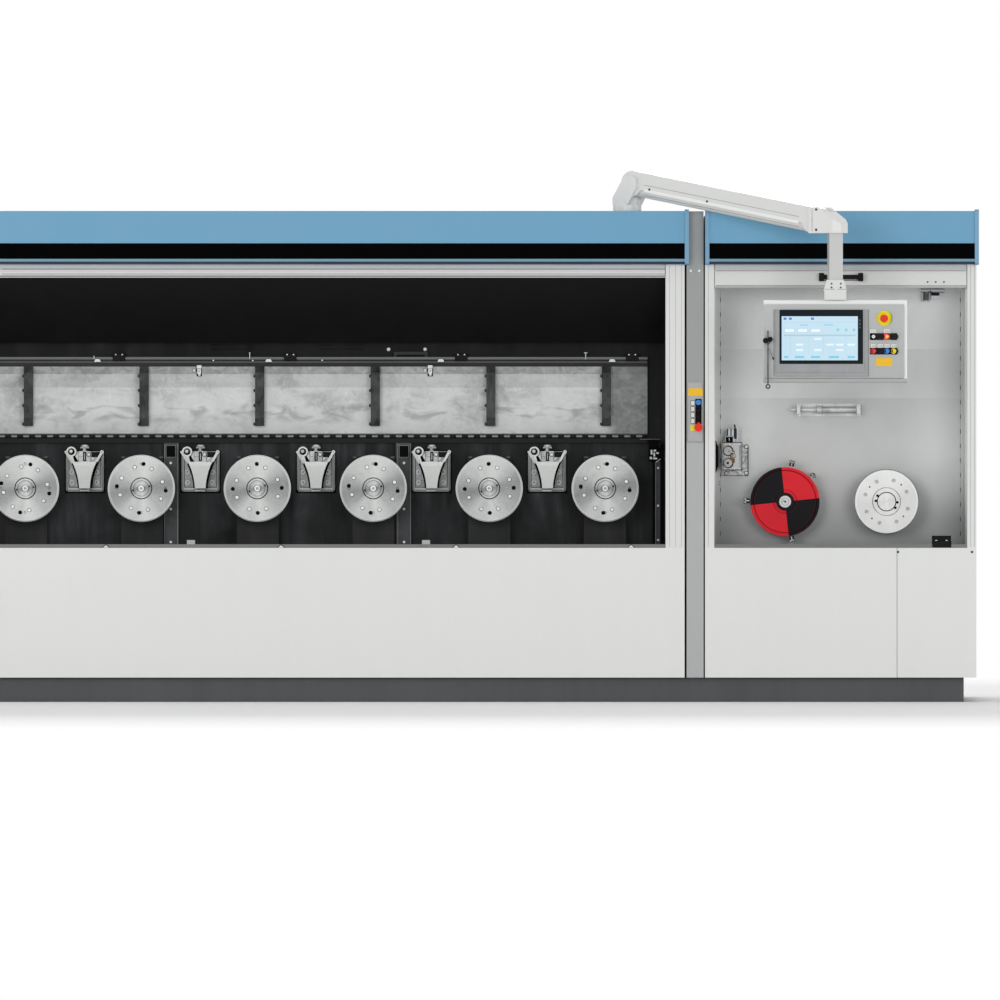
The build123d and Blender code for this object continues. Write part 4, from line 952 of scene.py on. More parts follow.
WHITE_PANEL = SprayedPaint("white_panel_paint", (216, 217, 214), 0.02, 0.008)
POST_WHITE = SprayedPaint("post_paint", (212, 213, 211), 0.02, 0.01)
BASE_GREY = SprayedPaint("base_paint", (64, 66, 68), 0.15, 0.1, 0.6)
HOUSING_GREY = SprayedPaint("housing_paint", (120, 122, 122), 0.06, 0.05, 0.55)
ARM_GREY = SprayedPaint("arm_paint", (212, 213, 211), 0.02, 0.01, 0.36)
COUPLING_WHITE = SprayedPaint("coupling_paint", (206, 208, 205), 0.02, 0.01, 0.36)
# Painted highlight: a near-white strip along the arm's rounded lower part.
HIGHLIGHT_WHITE = SprayedPaint("arm_highlight_paint", (230, 231, 229), 0.02, 0.01, 0.36)
CAP_BLUE = SprayedPaint("fascia_cap_paint", (92, 144, 176), 0.04, 0.01, 0.34)
BAND_BLUE = SprayedPaint("band_paint", (104, 158, 189), 0.03, 0.01, 0.34)
DECK_GREY = SprayedPaint("takeup_deck_paint", (150, 151, 151), 0.08, 0.05, 0.45)
KEY_PRINT = SprayedPaint("key_print", (120, 126, 130))
PLATE_GREY = SprayedPaint("pillar_plate_paint", (160, 162, 161), 0.2, 0.08)
HEAD_PAINT = BandedPaint("arm_head_paint", ((0.0, (188, 189, 187)), (2.284, (218, 219, 217))), 0.36)
PILLAR_GREY = BandedPaint("pillar_paint", ((0.0, (167, 169, 168)), (1.2725, (147, 149, 148))), 0.42)
# The top band of the front rails is painted shadow under the fascia.
RAIL_BANDS = BandedPaint("rail_paint", ((0.0, (102, 103, 103)), (2.0779, (168, 168, 168)),
                                        (2.0975, (211, 212, 210)), (2.121, (182, 184, 183))))
# The top band of the door rails is painted shadow under the fascia.
DOOR_RAIL = BandedPaint("door_rail_paint", ((0.0, (170, 171, 170)), (2.0405, (236, 238, 235)),
                                            (2.0455, (212, 214, 211)), (2.11, (190, 191, 191)),
                                            (2.1128, (210, 211, 211)), (2.117, (178, 183, 185))))
# The lowest, navy band is painted shade on the fascia's underside.
FASCIA_BLUE = BandedPaint("fascia_paint", ((0.0, (16, 40, 66)), (2.157, (104, 146, 166)),
                                           (2.1705, (102, 157, 189))), 0.4, 0.25)
# The two paler bands of the edge rail are painted highlights on its tube and lip.
RAIL_STEEL = BandedPaint("edge_rail_steel", ((0.0, (16, 16, 17)), (1.6664, (72, 73, 74)),
                                             (1.6747, (13, 13, 14)), (1.6831, (104, 105, 106)),
                                             (1.6955, (30, 30, 31))), 0.4, 0.15)
STRIPE_BLACK = MouldedPlastic("stripe_foil", (8, 8, 9), 0.5, 0.0)
BLACK_PLASTIC = MouldedPlastic("black_plastic", (19, 19, 20), 0.45, 0.06)
BLACK_RUBBER = MouldedPlastic("black_rubber", (10, 10, 11), 0.6, 0.03)
JOINT_GREY = MouldedPlastic("joint_paint", (182, 184, 182), 0.5, 0.1)
# Bolt heads: pale zinc with a painted highlight.
BOLT_WHITE = MouldedPlastic("bolt_zinc_and_highlight", (238, 239, 238), 0.4, 0.3)
SEAM_GREY = MouldedPlastic("seam_shadow", (150, 151, 150), 0.6, 0.1)
WHITE_PLASTIC = MouldedPlastic("white_plastic", (216, 219, 222))
BLANK_WHITE = MouldedPlastic("blank_label", (214, 215, 213), 0.4)
YELLOW = MouldedPlastic("yellow_enamel", (234, 184, 40), 0.34, 0.12)
LEMON = MouldedPlastic("stop_collar_yellow", (230, 214, 34), 0.34, 0.12)
BLUE = MouldedPlastic("blue_enamel", (38, 36, 78), 0.32, 0.15)
GLASS = MouldedPlastic("display_glass_black", (20, 28, 34), 0.2, 0.05)
CHAMBER_BLACK = OilyBlack("chamber_paint", (27, 28, 29), (106, 108, 110), 0.62, (14, 14, 15), 1.55, 0.07)
LINER_BLACK = OilyBlack("liner_paint", (26, 26, 27), (56, 57, 58), 0.4)
HOOD_BLACK = OilyBlack("hood_paint", (18, 18, 19), (26, 26, 27), 0.3, (32, 32, 33), 2.1, 0.06)
HOUSING_BLACK = OilyBlack("bearing_paint", (28, 29, 29), (52, 53, 53), 0.4)
DARK_STEEL = RoughSteel("dark_steel", (36, 37, 38), (64, 65, 67), 0.2, 0.45, gloss=0.2)
RIB_STEEL = RoughSteel("rib_steel", (22, 22, 23), (80, 81, 82), 0.1, 0.5, (30, 30, 3), 0.1)
POST_STEEL = RoughSteel("wall_post_steel", (52, 53, 54), (76, 77, 79), 0.1, 0.45, (40, 40, 2), 0.12)
HINGE_STEEL = RoughSteel("hinge_steel", (14, 14, 15), (34, 34, 35), 0.1, 0.5, gloss=0.1)
CAST_WHITE = RoughSteel("cast_horn", (184, 186, 183), (204, 206, 203), 0.05, 0.55, (60, 60, 60))
BRIGHT_STEEL = RoughSteel("bright_steel", (160, 162, 162), (220, 221, 220), 0.25, 0.4, (30, 30, 30))
EDGE_STEEL = RoughSteel("edge_steel", (96, 98, 99), (132, 134, 135), 0.1, 0.45, (20, 20, 20), 0.2)
CLAMP_STEEL = RoughSteel("clamp_steel", (104, 106, 106), (186, 188, 187), 0.3, 0.4, (30, 30, 30))
SCREW_STEEL = RoughSteel("screw_steel", (196, 198, 198), (240, 241, 240), 0.1, 0.4, (80, 80, 80))
DARK_SCREW = RoughSteel("black_screw", (28, 28, 29), (54, 54, 56), 0.2, 0.4, (80, 80, 80), 0.2)
HOOK_STEEL = RoughSteel("hook_steel", (44, 45, 46), (98, 99, 100), 0.2, 0.4, (20, 20, 20), 0.2)
BRASS = RoughSteel("worn_brass", (104, 76, 52), (176, 140, 104), 0.5, 0.36, (60, 60, 60))
DISPLAY_FRAME = RoughSteel("display_frame", (134, 135, 136), (148, 149, 150), 0.1, 0.4, (1, 60, 60), 0.2)
CHAMBER_GREY = ChamberWall("takeup_wall_paint", (226, 228, 227), (197, 199, 198), (152, 154, 154))


class Piece:
    """One fine piece of the machine, collected from small shapes in one mesh."""

    def __init__(self, name: str, body: Body, slot: Slot, finish: Finish) -> None:
        """Keeps where the piece belongs and starts its mesh.

        Args:
            name: Name of the piece.
            body: Body that it rides on.
            slot: Material group that it belongs to.
            finish: Finish of the whole piece.
        """
        self.name = name
        self.body = body
        self.slot = slot
        self.finish = finish
        self.shapes = bmesh.new()

    def take(self, shape: bmesh.types.BMesh, place: Matrix = Matrix.Identity(4),
             edge: float = 0.0) -> None:
        """Rounds, places and closes one shape, and moves it into the piece.

        Args:
            shape: Shape that is used up.
            place: Place and turn of the shape.
            edge: Width of the rounded edges.
        """
        if edge:
            bmesh.ops.bevel(shape, geom=shape.edges[:], offset=edge, affect="EDGES", segments=2,
                            profile=0.5, material=-1)
        bmesh.ops.transform(shape, matrix=place, verts=shape.verts)
        bmesh.ops.remove_doubles(shape, verts=shape.verts, dist=1e-6)
        bmesh.ops.recalc_face_normals(shape, faces=shape.faces)
        holder = bpy.data.meshes.new("holder")
        shape.to_mesh(holder)
        shape.free()
        self.shapes.from_mesh(holder)
        bpy.data.meshes.remove(holder)

    def block(self, low: Point, high: Point, edge: float = 0.0) -> None:
        """Adds a block between two corners.

        Args:
            low: Lowest corner.
            high: Highest corner.
            edge: Width of the rounded edges.
        """
        shape = bmesh.new()
        size = Vector(high) - Vector(low)
        bmesh.ops.create_cube(shape, size=1.0, matrix=Matrix.Diagonal((*size, 1.0)))
        self.take(shape, Matrix.Translation((Vector(high) + Vector(low)) / 2), edge)

    def pad(self, middle: Point, half: Pair, rise: float, edge: float = 0.0) -> None:
        """Adds a flat pad that stands out from the middle of its back to the front."""
        x, y, z = middle
        self.block((x - half[0], y - rise, z - half[1]), (x + half[0], y, z + half[1]), edge)

    def upright(self, x: float, half: float, span: Pair, y: float, rise: float, edge: float = 0.0) -> None:
        """Adds an upright strip of half a width round x, between two heights, on a surface at y."""
        self.block((x - half, y - rise, span[0]), (x + half, y, span[1]), edge)

    def level(self, span: Pair, z: float, half: float, y: float, rise: float, edge: float = 0.0) -> None:
        """Adds a level strip of half a height round z, between two columns, on a surface at y."""
        self.block((span[0], y - rise, z - half), (span[1], y, z + half), edge)

    def lathe(self, profile: tuple[Pair, ...], centre: Point, axis: Axis = Axis.FRONT, steps: int = 20,
              turn: Matrix = Matrix.Identity(4)) -> None:
        """Adds a turned shape.

        Args:
            profile: Radius and height along the axis, from the inner end to the outer end.
            centre: Place of height 0 on the axis.
            axis: Direction of the axis.
            steps: Number of sides.
            turn: Further turn about the centre.
        """
        shape = bmesh.new()
        rows = [shape.verts.new((radius, 0.0, height)) for radius, height in profile]
        edges = [shape.edges.new(pair) for pair in zip(rows, rows[1:])]
        bmesh.ops.spin(shape, geom=rows + edges, cent=(0, 0, 0), axis=(0, 0, 1), dvec=(0, 0, 0), angle=2 * pi,
                       steps=steps, use_merge=True, use_duplicate=False)
        self.take(shape, Matrix.Translation(centre) @ turn @ axis.value)

    def disc(self, centre: Point, top: float, foot: float, height: float, steps: int = 20) -> None:
        """Adds a flat disc that faces the front, with a radius at its top and at its foot."""
        self.lathe(((0.0, 0.0), (0.0, height), (top, height), (foot, 0.0), (0.0, 0.0)), centre, steps=steps)

    def prism(self, outline: list[Point], depth: float, edge: float = 0.0) -> None:
        """Adds a prism that runs from a flat outline along Y.

        Args:
            outline: Corners of the flat outline.
            depth: Way along Y from the outline to its copy.
            edge: Width of the rounded edges.
        """
        shape = bmesh.new()
        face = shape.faces.new([shape.verts.new(corner) for corner in outline])
        grown = bmesh.ops.extrude_face_region(shape, geom=[face])
        moved = [item for item in grown["geom"] if isinstance(item, bmesh.types.BMVert)]
        bmesh.ops.translate(shape, vec=(0, depth, 0), verts=moved)
        self.take(shape, edge=edge)

    def beam(self, start: Point, end: Point, width: float, rise: float, edge: float = 0.0,
             normal: Point = (0, -1, 0)) -> None:
        """Adds a straight bar that stands on a surface.

        Args:
            start: First end, on the surface.
            end: Second end, on the surface.
            width: Width along the surface.
            rise: Height above the surface.
            edge: Width of the rounded edges.
            normal: Direction out of the surface.
        """
        shape = bmesh.new()
        way = Vector(end) - Vector(start)
        out = Vector(normal).normalized()
        bmesh.ops.create_cube(shape, size=1.0, matrix=Matrix.Diagonal((way.length, rise, width, 1.0)))
        turn = Matrix((way.normalized(), out, way.normalized().cross(out))).transposed().to_4x4()
        middle = (Vector(start) + Vector(end)) / 2 + out * (rise / 2)
        self.take(shape, Matrix.Translation(middle) @ turn, edge)

    def rod(self, start: Point, end: Point, radius: float) -> None:
        """Adds a round bar with slightly rounded ends.

        Args:
            start: Middle of the first end.
            end: Middle of the second end.
            radius: Radius of the bar.
        """
        way = Vector(end) - Vector(start)
        length = way.length
        edge = min(radius * 0.3, length * 0.2)
        profile = ((0.0, 0.0), (radius - edge, 0.0), (radius, edge), (radius, length - edge),
                   (radius - edge, length), (0.0, length))
        self.lathe(profile, start, Axis.UP, 14, way.to_track_quat("Z", "Y").to_matrix().to_4x4())

    def screw(self, centre: Point, radius: float, height: float) -> None:
        """Adds a socket-head screw that faces the front.

        Args:
            centre: Middle of its foot.
            radius: Radius of its head.
            height: Height of its head.
        """
        socket, floor = radius * 0.45, height * 0.35
        self.lathe(((0.0, floor), (socket, floor), (socket, height), (radius * 0.85, height),
                    (radius, height * 0.8), (radius, 0.0), (0.0, 0.0)), centre, steps=12)

    def washer(self, centre: Point, outer: float, inner: float, height: float, steps: int = 20) -> None:
        """Adds a ring with a rounded outer edge.

        Args:
            centre: Middle of its foot.
            outer: Outer radius.
            inner: Inner radius.
            height: Height of the ring.
            steps: Number of sides.
        """
        edge = min(height * 0.4, (outer - inner) * 0.3)
        self.lathe(((inner, 0.0), (inner, height), (outer - edge, height), (outer, height - edge),
                    (outer, 0.0), (inner, 0.0)), centre, steps=steps)

    def done(self) -> None:
        """Writes the mesh and lets the piece ride on its body."""
        mesh = bpy.data.meshes.new(self.name)
        self.shapes.to_mesh(mesh)
        count = sum(len(face.verts) - 2 for face in self.shapes.faces)
        self.shapes.free()
        piece = bpy.data.objects.new(self.name, mesh)
        bpy.context.scene.collection.objects.link(piece)
        mesh.materials.append(self.finish.material())
        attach(piece, self.body.value)
        log.info("%s: %d triangles on %s", self.name, count, self.body.value)


def dress_nodes(finishes: dict[str, Finish]) -> None:
    """Gives nodes of the frame their finishes.

    Args:
        finishes: Finish of each node, by the node's name.
    """
    for name, finish in finishes.items():
        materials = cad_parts[name].data.materials
        materials.clear()
        materials.append(finish.material())


@dataclass
class Assembly:
    """Sub-assembly of the machine, with the fine pieces that it adds."""

    pieces: list[Piece] = field(default_factory=list, init=False)

    def piece(self, name: str, slot: Slot, finish: Finish, body: Body = Body.MACHINE) -> Piece:
        """Starts a fine piece, which build finishes."""
        self.pieces.append(Piece(name, body, slot, finish))
        return self.pieces[-1]

    def draw(self) -> None:
        """Dresses the nodes and draws the pieces, which each sub-assembly does in its own way."""
        raise NotImplementedError

    def build(self) -> None:
        """Builds the sub-assembly and finishes its pieces in the order of their start."""
        self.draw()
        for piece in self.pieces:
            piece.done()


@dataclass
class Enclosure(Assembly):
    """Sheet metal shell: its paint, screws, seams, latches and the blank plates on it."""

    front: float = -0.8
    rail: float = -0.795
    wall: float = -0.37
    pillar: Pair = (1.1815, 1.2645)
    pillar_seam: float = 442.4
    pillar_screws: tuple[Pair, ...] = ((690.7, 270.8), (699.2, 270.8))
    rail_screws: tuple[Pair, ...] = ((927.6, 282), (935.7, 282), (943.9, 282))
    panel_screws: tuple[Pair, ...] = ((898.0, 552), (972.0, 552))
    latches: tuple[Pair, ...] = ((105.9, 547.6), (281.0, 547.6), (456.1, 547.6), (631.1, 547.6))
    labels: tuple[Pair, ...] = ((191.0, 542.5), (426.0, 542.5))
    panel_joint: float = 897.0
    joint_span: Pair = (0.13, 0.752)
    rail_lines: tuple[Point, ...] = ((269.2, 2.0, 665.0), (274.0, 2.0, 665.0), (270.6, 716.0, 966.0),
                                     (285.2, 716.0, 966.0))
    post_columns: tuple[float, ...] = (669.5, 675.7, 681.4, 708.4, 970.4, 974.6)
    post_span: Pair = (0.76, 2.14)
    takeup_doors: Pair = (1.3015, 2.5715)
    drawing_doors: Pair = (-2.5715, 1.1415)
    lock_rows: Point = (0.55, 1.15, 1.75)
    lock_shift: float = 0.045

    def fasten(self) -> None:
        """Screws of the pillar, the rails and the lower panels, and the ends of the door's handle."""
        screws = self.piece("shell_screws", Slot.BRIGHT, SCREW_STEEL)
        holes = self.piece("shell_dark_screws", Slot.DARK, DARK_SCREW)
        for piece, spots, y, radius, height in ((screws, self.pillar_screws, self.front, 0.006, 0.003),
                                                (holes, self.rail_screws, self.rail, 0.0045, 0.002),
                                                (holes, self.panel_screws, self.front, 0.006, 0.003)):
            for spot in spots:
                piece.screw(SIGHT.at(*spot, y), radius, height)
        ends = self.piece("handle_ends", Slot.BLACK, BLACK_PLASTIC)
        low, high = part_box("door_handle")
        for left, right in ((low.x, low.x + 0.024), (high.x - 0.024, high.x)):
            ends.block((left, low.y - 0.002, low.z - 0.009), (right, self.rail, high.z + 0.009), 0.003)
        ends.level((low.x + 0.024, high.x - 0.024), low.z - 0.0045, 0.0015, self.rail, 0.002, 0.0005)

    def line(self) -> None:
        """Joint lines between panels, along the rails and on the posts."""
        seams = self.piece("shell_seams", Slot.BLACK, SEAM_GREY)
        seams.level(self.pillar, SIGHT.z(self.pillar_seam, self.front), 0.0015, self.front, 0.0006)
        edge = self.piece("left_rail_edge", Slot.SHELL, SEAM_GREY)
        edge.block((-2.5, self.rail - 0.0006, SIGHT.z(277.2, self.rail)), SIGHT.at(665.5, 275.3, self.rail))
        strip = self.piece("panel_joint_strip", Slot.SHELL, JOINT_GREY)
        strip.upright(SIGHT.x(self.panel_joint, self.front), 0.0024, self.joint_span, self.front, 0.0006)
        grooves = self.piece("rail_grooves", Slot.BLACK, BLACK_PLASTIC)
        for down, left, right in self.rail_lines:
            span = (SIGHT.x(left, self.rail), SIGHT.x(right, self.rail))
            grooves.level(span, SIGHT.z(down, self.rail), 0.0008, self.rail, 0.0005)
        lines = self.piece("post_lines", Slot.SHELL, SEAM_GREY)
        for across in self.post_columns:
            lines.upright(SIGHT.x(across, self.front), 0.0008, self.post_span, self.front, 0.0004)

    def latch(self) -> None:
        """Triangular latches on the sill with black triangles behind them as painted shadow, and blank plates
        on the wall's foot.
        """
        latches = self.piece("sill_latches", Slot.SHELL, WHITE_PLASTIC)
        # Black triangles a little larger than the latches: painted shadow round them.
        rims = self.piece("sill_latch_shadows", Slot.BLACK, BLACK_PLASTIC)
        for spot in self.latches:
            x, y, z = SIGHT.at(*spot, self.front)
            for piece, half, rise, depth, edge in ((latches, 0.014, 0.012, -0.004, 0.0008),
                                                   (rims, 0.0195, 0.0165, -0.001, 0.0)):
                piece.prism([(x - half, y, z), (x + half, y, z), (x, y, z + rise)], depth, edge)
        plates = self.piece("blank_wall_plates", Slot.FITTING, BLANK_WHITE)
        for spot in self.labels:
            plates.pad(SIGHT.at(*spot, self.wall), (0.02, 0.012), 0.0015, 0.0006)

    def back(self) -> None:
        """Locks of the doors behind the machine."""
        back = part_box("rear_doors")[1].y
        locks = self.piece("rear_door_locks", Slot.BLACK, BLACK_PLASTIC)
        low, high = self.drawing_doors
        seams = [low + (high - low) * share for share in (1 / 6, 0.5, 5 / 6)] + [sum(self.takeup_doors) / 2]
        for seam in seams:
            for x in (seam - self.lock_shift, seam + self.lock_shift):
                for z in self.lock_rows:
                    locks.pad((x, back + 0.005, z), (0.012, 0.045), 0.005, 0.0022)
                    locks.pad((x, back + 0.008, z), (0.007, 0.03), 0.003, 0.0012)

    def draw(self) -> None:
        """Dresses and draws the shell."""
        dress_nodes({"side_walls": WHITE_PANEL, "roof_panels": WHITE_PANEL, "rear_doors": WHITE_PANEL,
                     "lower_front_panels": WHITE_PANEL, "front_posts": POST_WHITE, "front_rails": RAIL_BANDS,
                     "door_rails": DOOR_RAIL, "door_handle": BLACK_PLASTIC, "base_frame": BASE_GREY,
                     "drive_housings": HOUSING_GREY, "control_pillar": PILLAR_GREY, "fascias": FASCIA_BLUE,
                     "fascia_end_caps": CAP_BLUE, "outer_bands": BAND_BLUE, "fascia_stripes": STRIPE_BLACK})
        self.fasten()
        self.line()
        self.latch()
        self.back()


@dataclass
class DrawingChamber(Assembly):
    """Oily black chamber with its wall posts, and the fittings of its end post."""

    wall: float = -0.37
    post_face: float = -0.4
    housing_face: float = -0.46
    post_low: float = 0.702
    post_screws: Point = (463.0, 509.0, 542.0)
    end_post_screws: Point = (468.0, 505.7, 540.0)
    end_post_column: float = 658.1
    post_windows: tuple[Point, ...] = ((170.75, 164.6, 177.6), (404.0, 397.8, 410.6))
    capstan_columns: tuple[float, ...] = (-2.066, -1.496, -0.926, -0.356, 0.214, 0.784)
    housing_half: float = 0.094
    fitting_parts: tuple[tuple[float, float, float, float], ...] = (
        (650.6, 449.7, 652.6, 454.6), (653.6, 449.5, 656.2, 451.6), (653.4, 452.6, 655.2, 456.6),
        (656.4, 452.2, 658.9, 454.0), (649.6, 456.8, 652.2, 459.2), (653.0, 457.6, 657.2, 459.4))
    wall_dots: tuple[Pair, ...] = ((388.6, 349.3), (425.0, 349.3))

    def posts(self) -> None:
        """Windows and screws of the wall posts, and pale lines painted as highlights on the edges of posts,
        windows, housings and a plate.
        """
        windows = self.piece("post_windows", Slot.BLACK, BLACK_RUBBER)
        screws = self.piece("post_screws", Slot.BRIGHT, SCREW_STEEL)
        # Pale lines: painted highlights along edges.
        edges = self.piece("post_edge_highlights", Slot.DARK, EDGE_STEEL)
        y = self.post_face
        for across, *sides in self.post_windows:
            x = SIGHT.x(across, y)
            windows.upright(x, 0.022, (1.202, 1.258), y, 0.002, 0.0008)
            edges.upright(x, 0.0245, (1.1995, 1.2605), y, 0.0008)
            for side in sides:
                edges.upright(SIGHT.x(side, y), 0.0016, (self.post_low, 1.268), y, 0.0008)
            for down in self.post_screws:
                screws.screw(SIGHT.at(across, down, y), 0.0065, 0.003)
        for down in self.end_post_screws:
            screws.screw((SIGHT.x(self.end_post_column, y), y - 0.001, SIGHT.z(down, y)), 0.006, 0.003)
        for x in self.capstan_columns:
            for side in (x - self.housing_half, x + self.housing_half):
                edges.upright(side, 0.009, (1.2, 1.2028), self.housing_face, 0.0012)
        edges.block((SIGHT.x(655.3, y), y - 0.002, self.post_low), (SIGHT.x(655.9, y), y, 1.178))
        edges.block((SIGHT.x(640.0, y), y - 0.001, 1.2885), (SIGHT.x(660.3, y), y + 0.03, 1.291))

    def end_post(self) -> None:
        """Black box, black strips painted as shade on the post's flanks, and the small cable fitting on the
        end post.
        """
        y = self.post_face
        front = y - 0.006
        box = self.piece("end_post_box_and_shade", Slot.BLACK, BLACK_RUBBER)
        box.block((SIGHT.x(648.9, -0.42), -0.44, 1.243), (SIGHT.x(658.3, -0.42), y, 1.283), 0.003)
        # Painted shade: black strips over the post's face beside its edges.
        for left, right in ((652.6, 655.2), (660.3, 664.6)):
            box.block((SIGHT.x(left, y), y - 0.0015, self.post_low), (SIGHT.x(right, y), y, 1.271), 0.0005)
        box.block((SIGHT.x(648.5, y), front, 1.182), (SIGHT.x(660.2, y), y, 1.243), 0.002)
        fitting = self.piece("end_post_fitting", Slot.BRIGHT, SCREW_STEEL)
        for left, top, right, bottom in self.fitting_parts:
            low = (SIGHT.x(left, front), front - 0.014, SIGHT.z(bottom, front))
            fitting.block(low, SIGHT.at(right, top, front), 0.0018)
        fitting.rod(SIGHT.at(660.5, 458.8, front), SIGHT.at(656.2, 462.3, front), 0.002)

    def draw(self) -> None:
        """Dresses and draws the chamber."""
        dress_nodes({"chamber_wall": CHAMBER_BLACK, "chamber_liners": LINER_BLACK,
                     "chamber_trough": LINER_BLACK, "chamber_hood": HOOD_BLACK,
                     "capstan_housings": HOUSING_BLACK, "wall_posts": POST_STEEL})
        self.posts()
        self.end_post()
        dots = self.piece("wall_dots", Slot.FITTING, WHITE_PLASTIC)
        for spot in self.wall_dots:
            dots.lathe(((0.0, 0.0), (0.0095, 0.0), (0.007, 0.005), (0.0, 0.006)), SIGHT.at(*spot, self.wall),
                       steps=18)


@dataclass
class Capstans(Assembly):
    """Six drawing capstans with their turned faces, face screws and holes."""

    first: float = -2.066
    pitch: float = 0.57
    height: float = 1.047
    face: float = -0.62
    radius: float = 0.165
    rests: tuple[float, ...] = (-12.0, -5.3, 1.2, -6.1, 1.5, -4.5)
    screw_share: float = 0.66
    hole_share: float = 0.73
    pin_share: float = 0.25
    dull: Colour = (98, 99, 100)
    bright: Colour = (186, 188, 186)

    def at(self, number: int, share: float, angle: float) -> Point:
        """Place on a capstan's face.

        Args:
            number: Capstan, counted from 0 at the left.
            share: Share of the capstan's radius.
            angle: Angle in degrees from rest.

        Returns:
            The place in the machine.
        """
        turn = radians(angle + self.rests[number])
        reach = self.radius * share
        x = self.first + self.pitch * number
        return (x + reach * cos(turn), self.face, self.height + reach * sin(turn))

    def capstan(self, number: int) -> None:
        """Dresses one capstan and adds its face details.

        Args:
            number: Capstan, counted from 0 at the left.
        """
        body = Body(f"capstan_{number + 1}")
        x = self.first + self.pitch * number
        face = TurnedSteelWithHighlights(f"turned_face_{number + 1}", (x, self.height), self.dull, self.bright)
        dress_nodes({body.value: face})
        heads = self.piece(f"{body.value}_screws", Slot.BRIGHT, SCREW_STEEL, body)
        dark = self.piece(f"{body.value}_holes", Slot.DARK, BLACK_RUBBER, body)
        for step in range(8):
            place = self.at(number, self.screw_share, 22.5 + 45 * step)
            heads.screw(place, 0.0084, 0.004)
            dark.washer(place, 0.0103, 0.0085, 0.0006)
        for angle in (0, 90, 180, 270):
            dark.disc(self.at(number, self.hole_share, angle), 0.0092, 0.01, 0.0008)
        centre = (x, self.face, self.height)
        boss = (x, self.face - 0.007, self.height)
        dark.washer(centre, 0.0536, 0.0495, 0.001, 48)
        dark.washer(boss, 0.0392, 0.0376, 0.0006, 40)
        for angle in (20, 200):
            dark.disc(self.at(number, self.pin_share, angle), 0.0046, 0.005, 0.0078, 12)
        dark.washer(boss, 0.0172, 0.0148, 0.0008)
        dark.washer((x, self.face - 0.0192, self.height), 0.0068, 0.0056, 0.0006)
        heads.lathe(((0.0145, 0.0), (0.0145, 0.0185), (0.012, 0.0195), (0.006, 0.0195), (0.006, 0.017),
                     (0.0, 0.017)), centre, steps=24)

    def draw(self) -> None:
        """Dresses and draws all six."""
        for number in range(len(self.rests)):
            self.capstan(number)


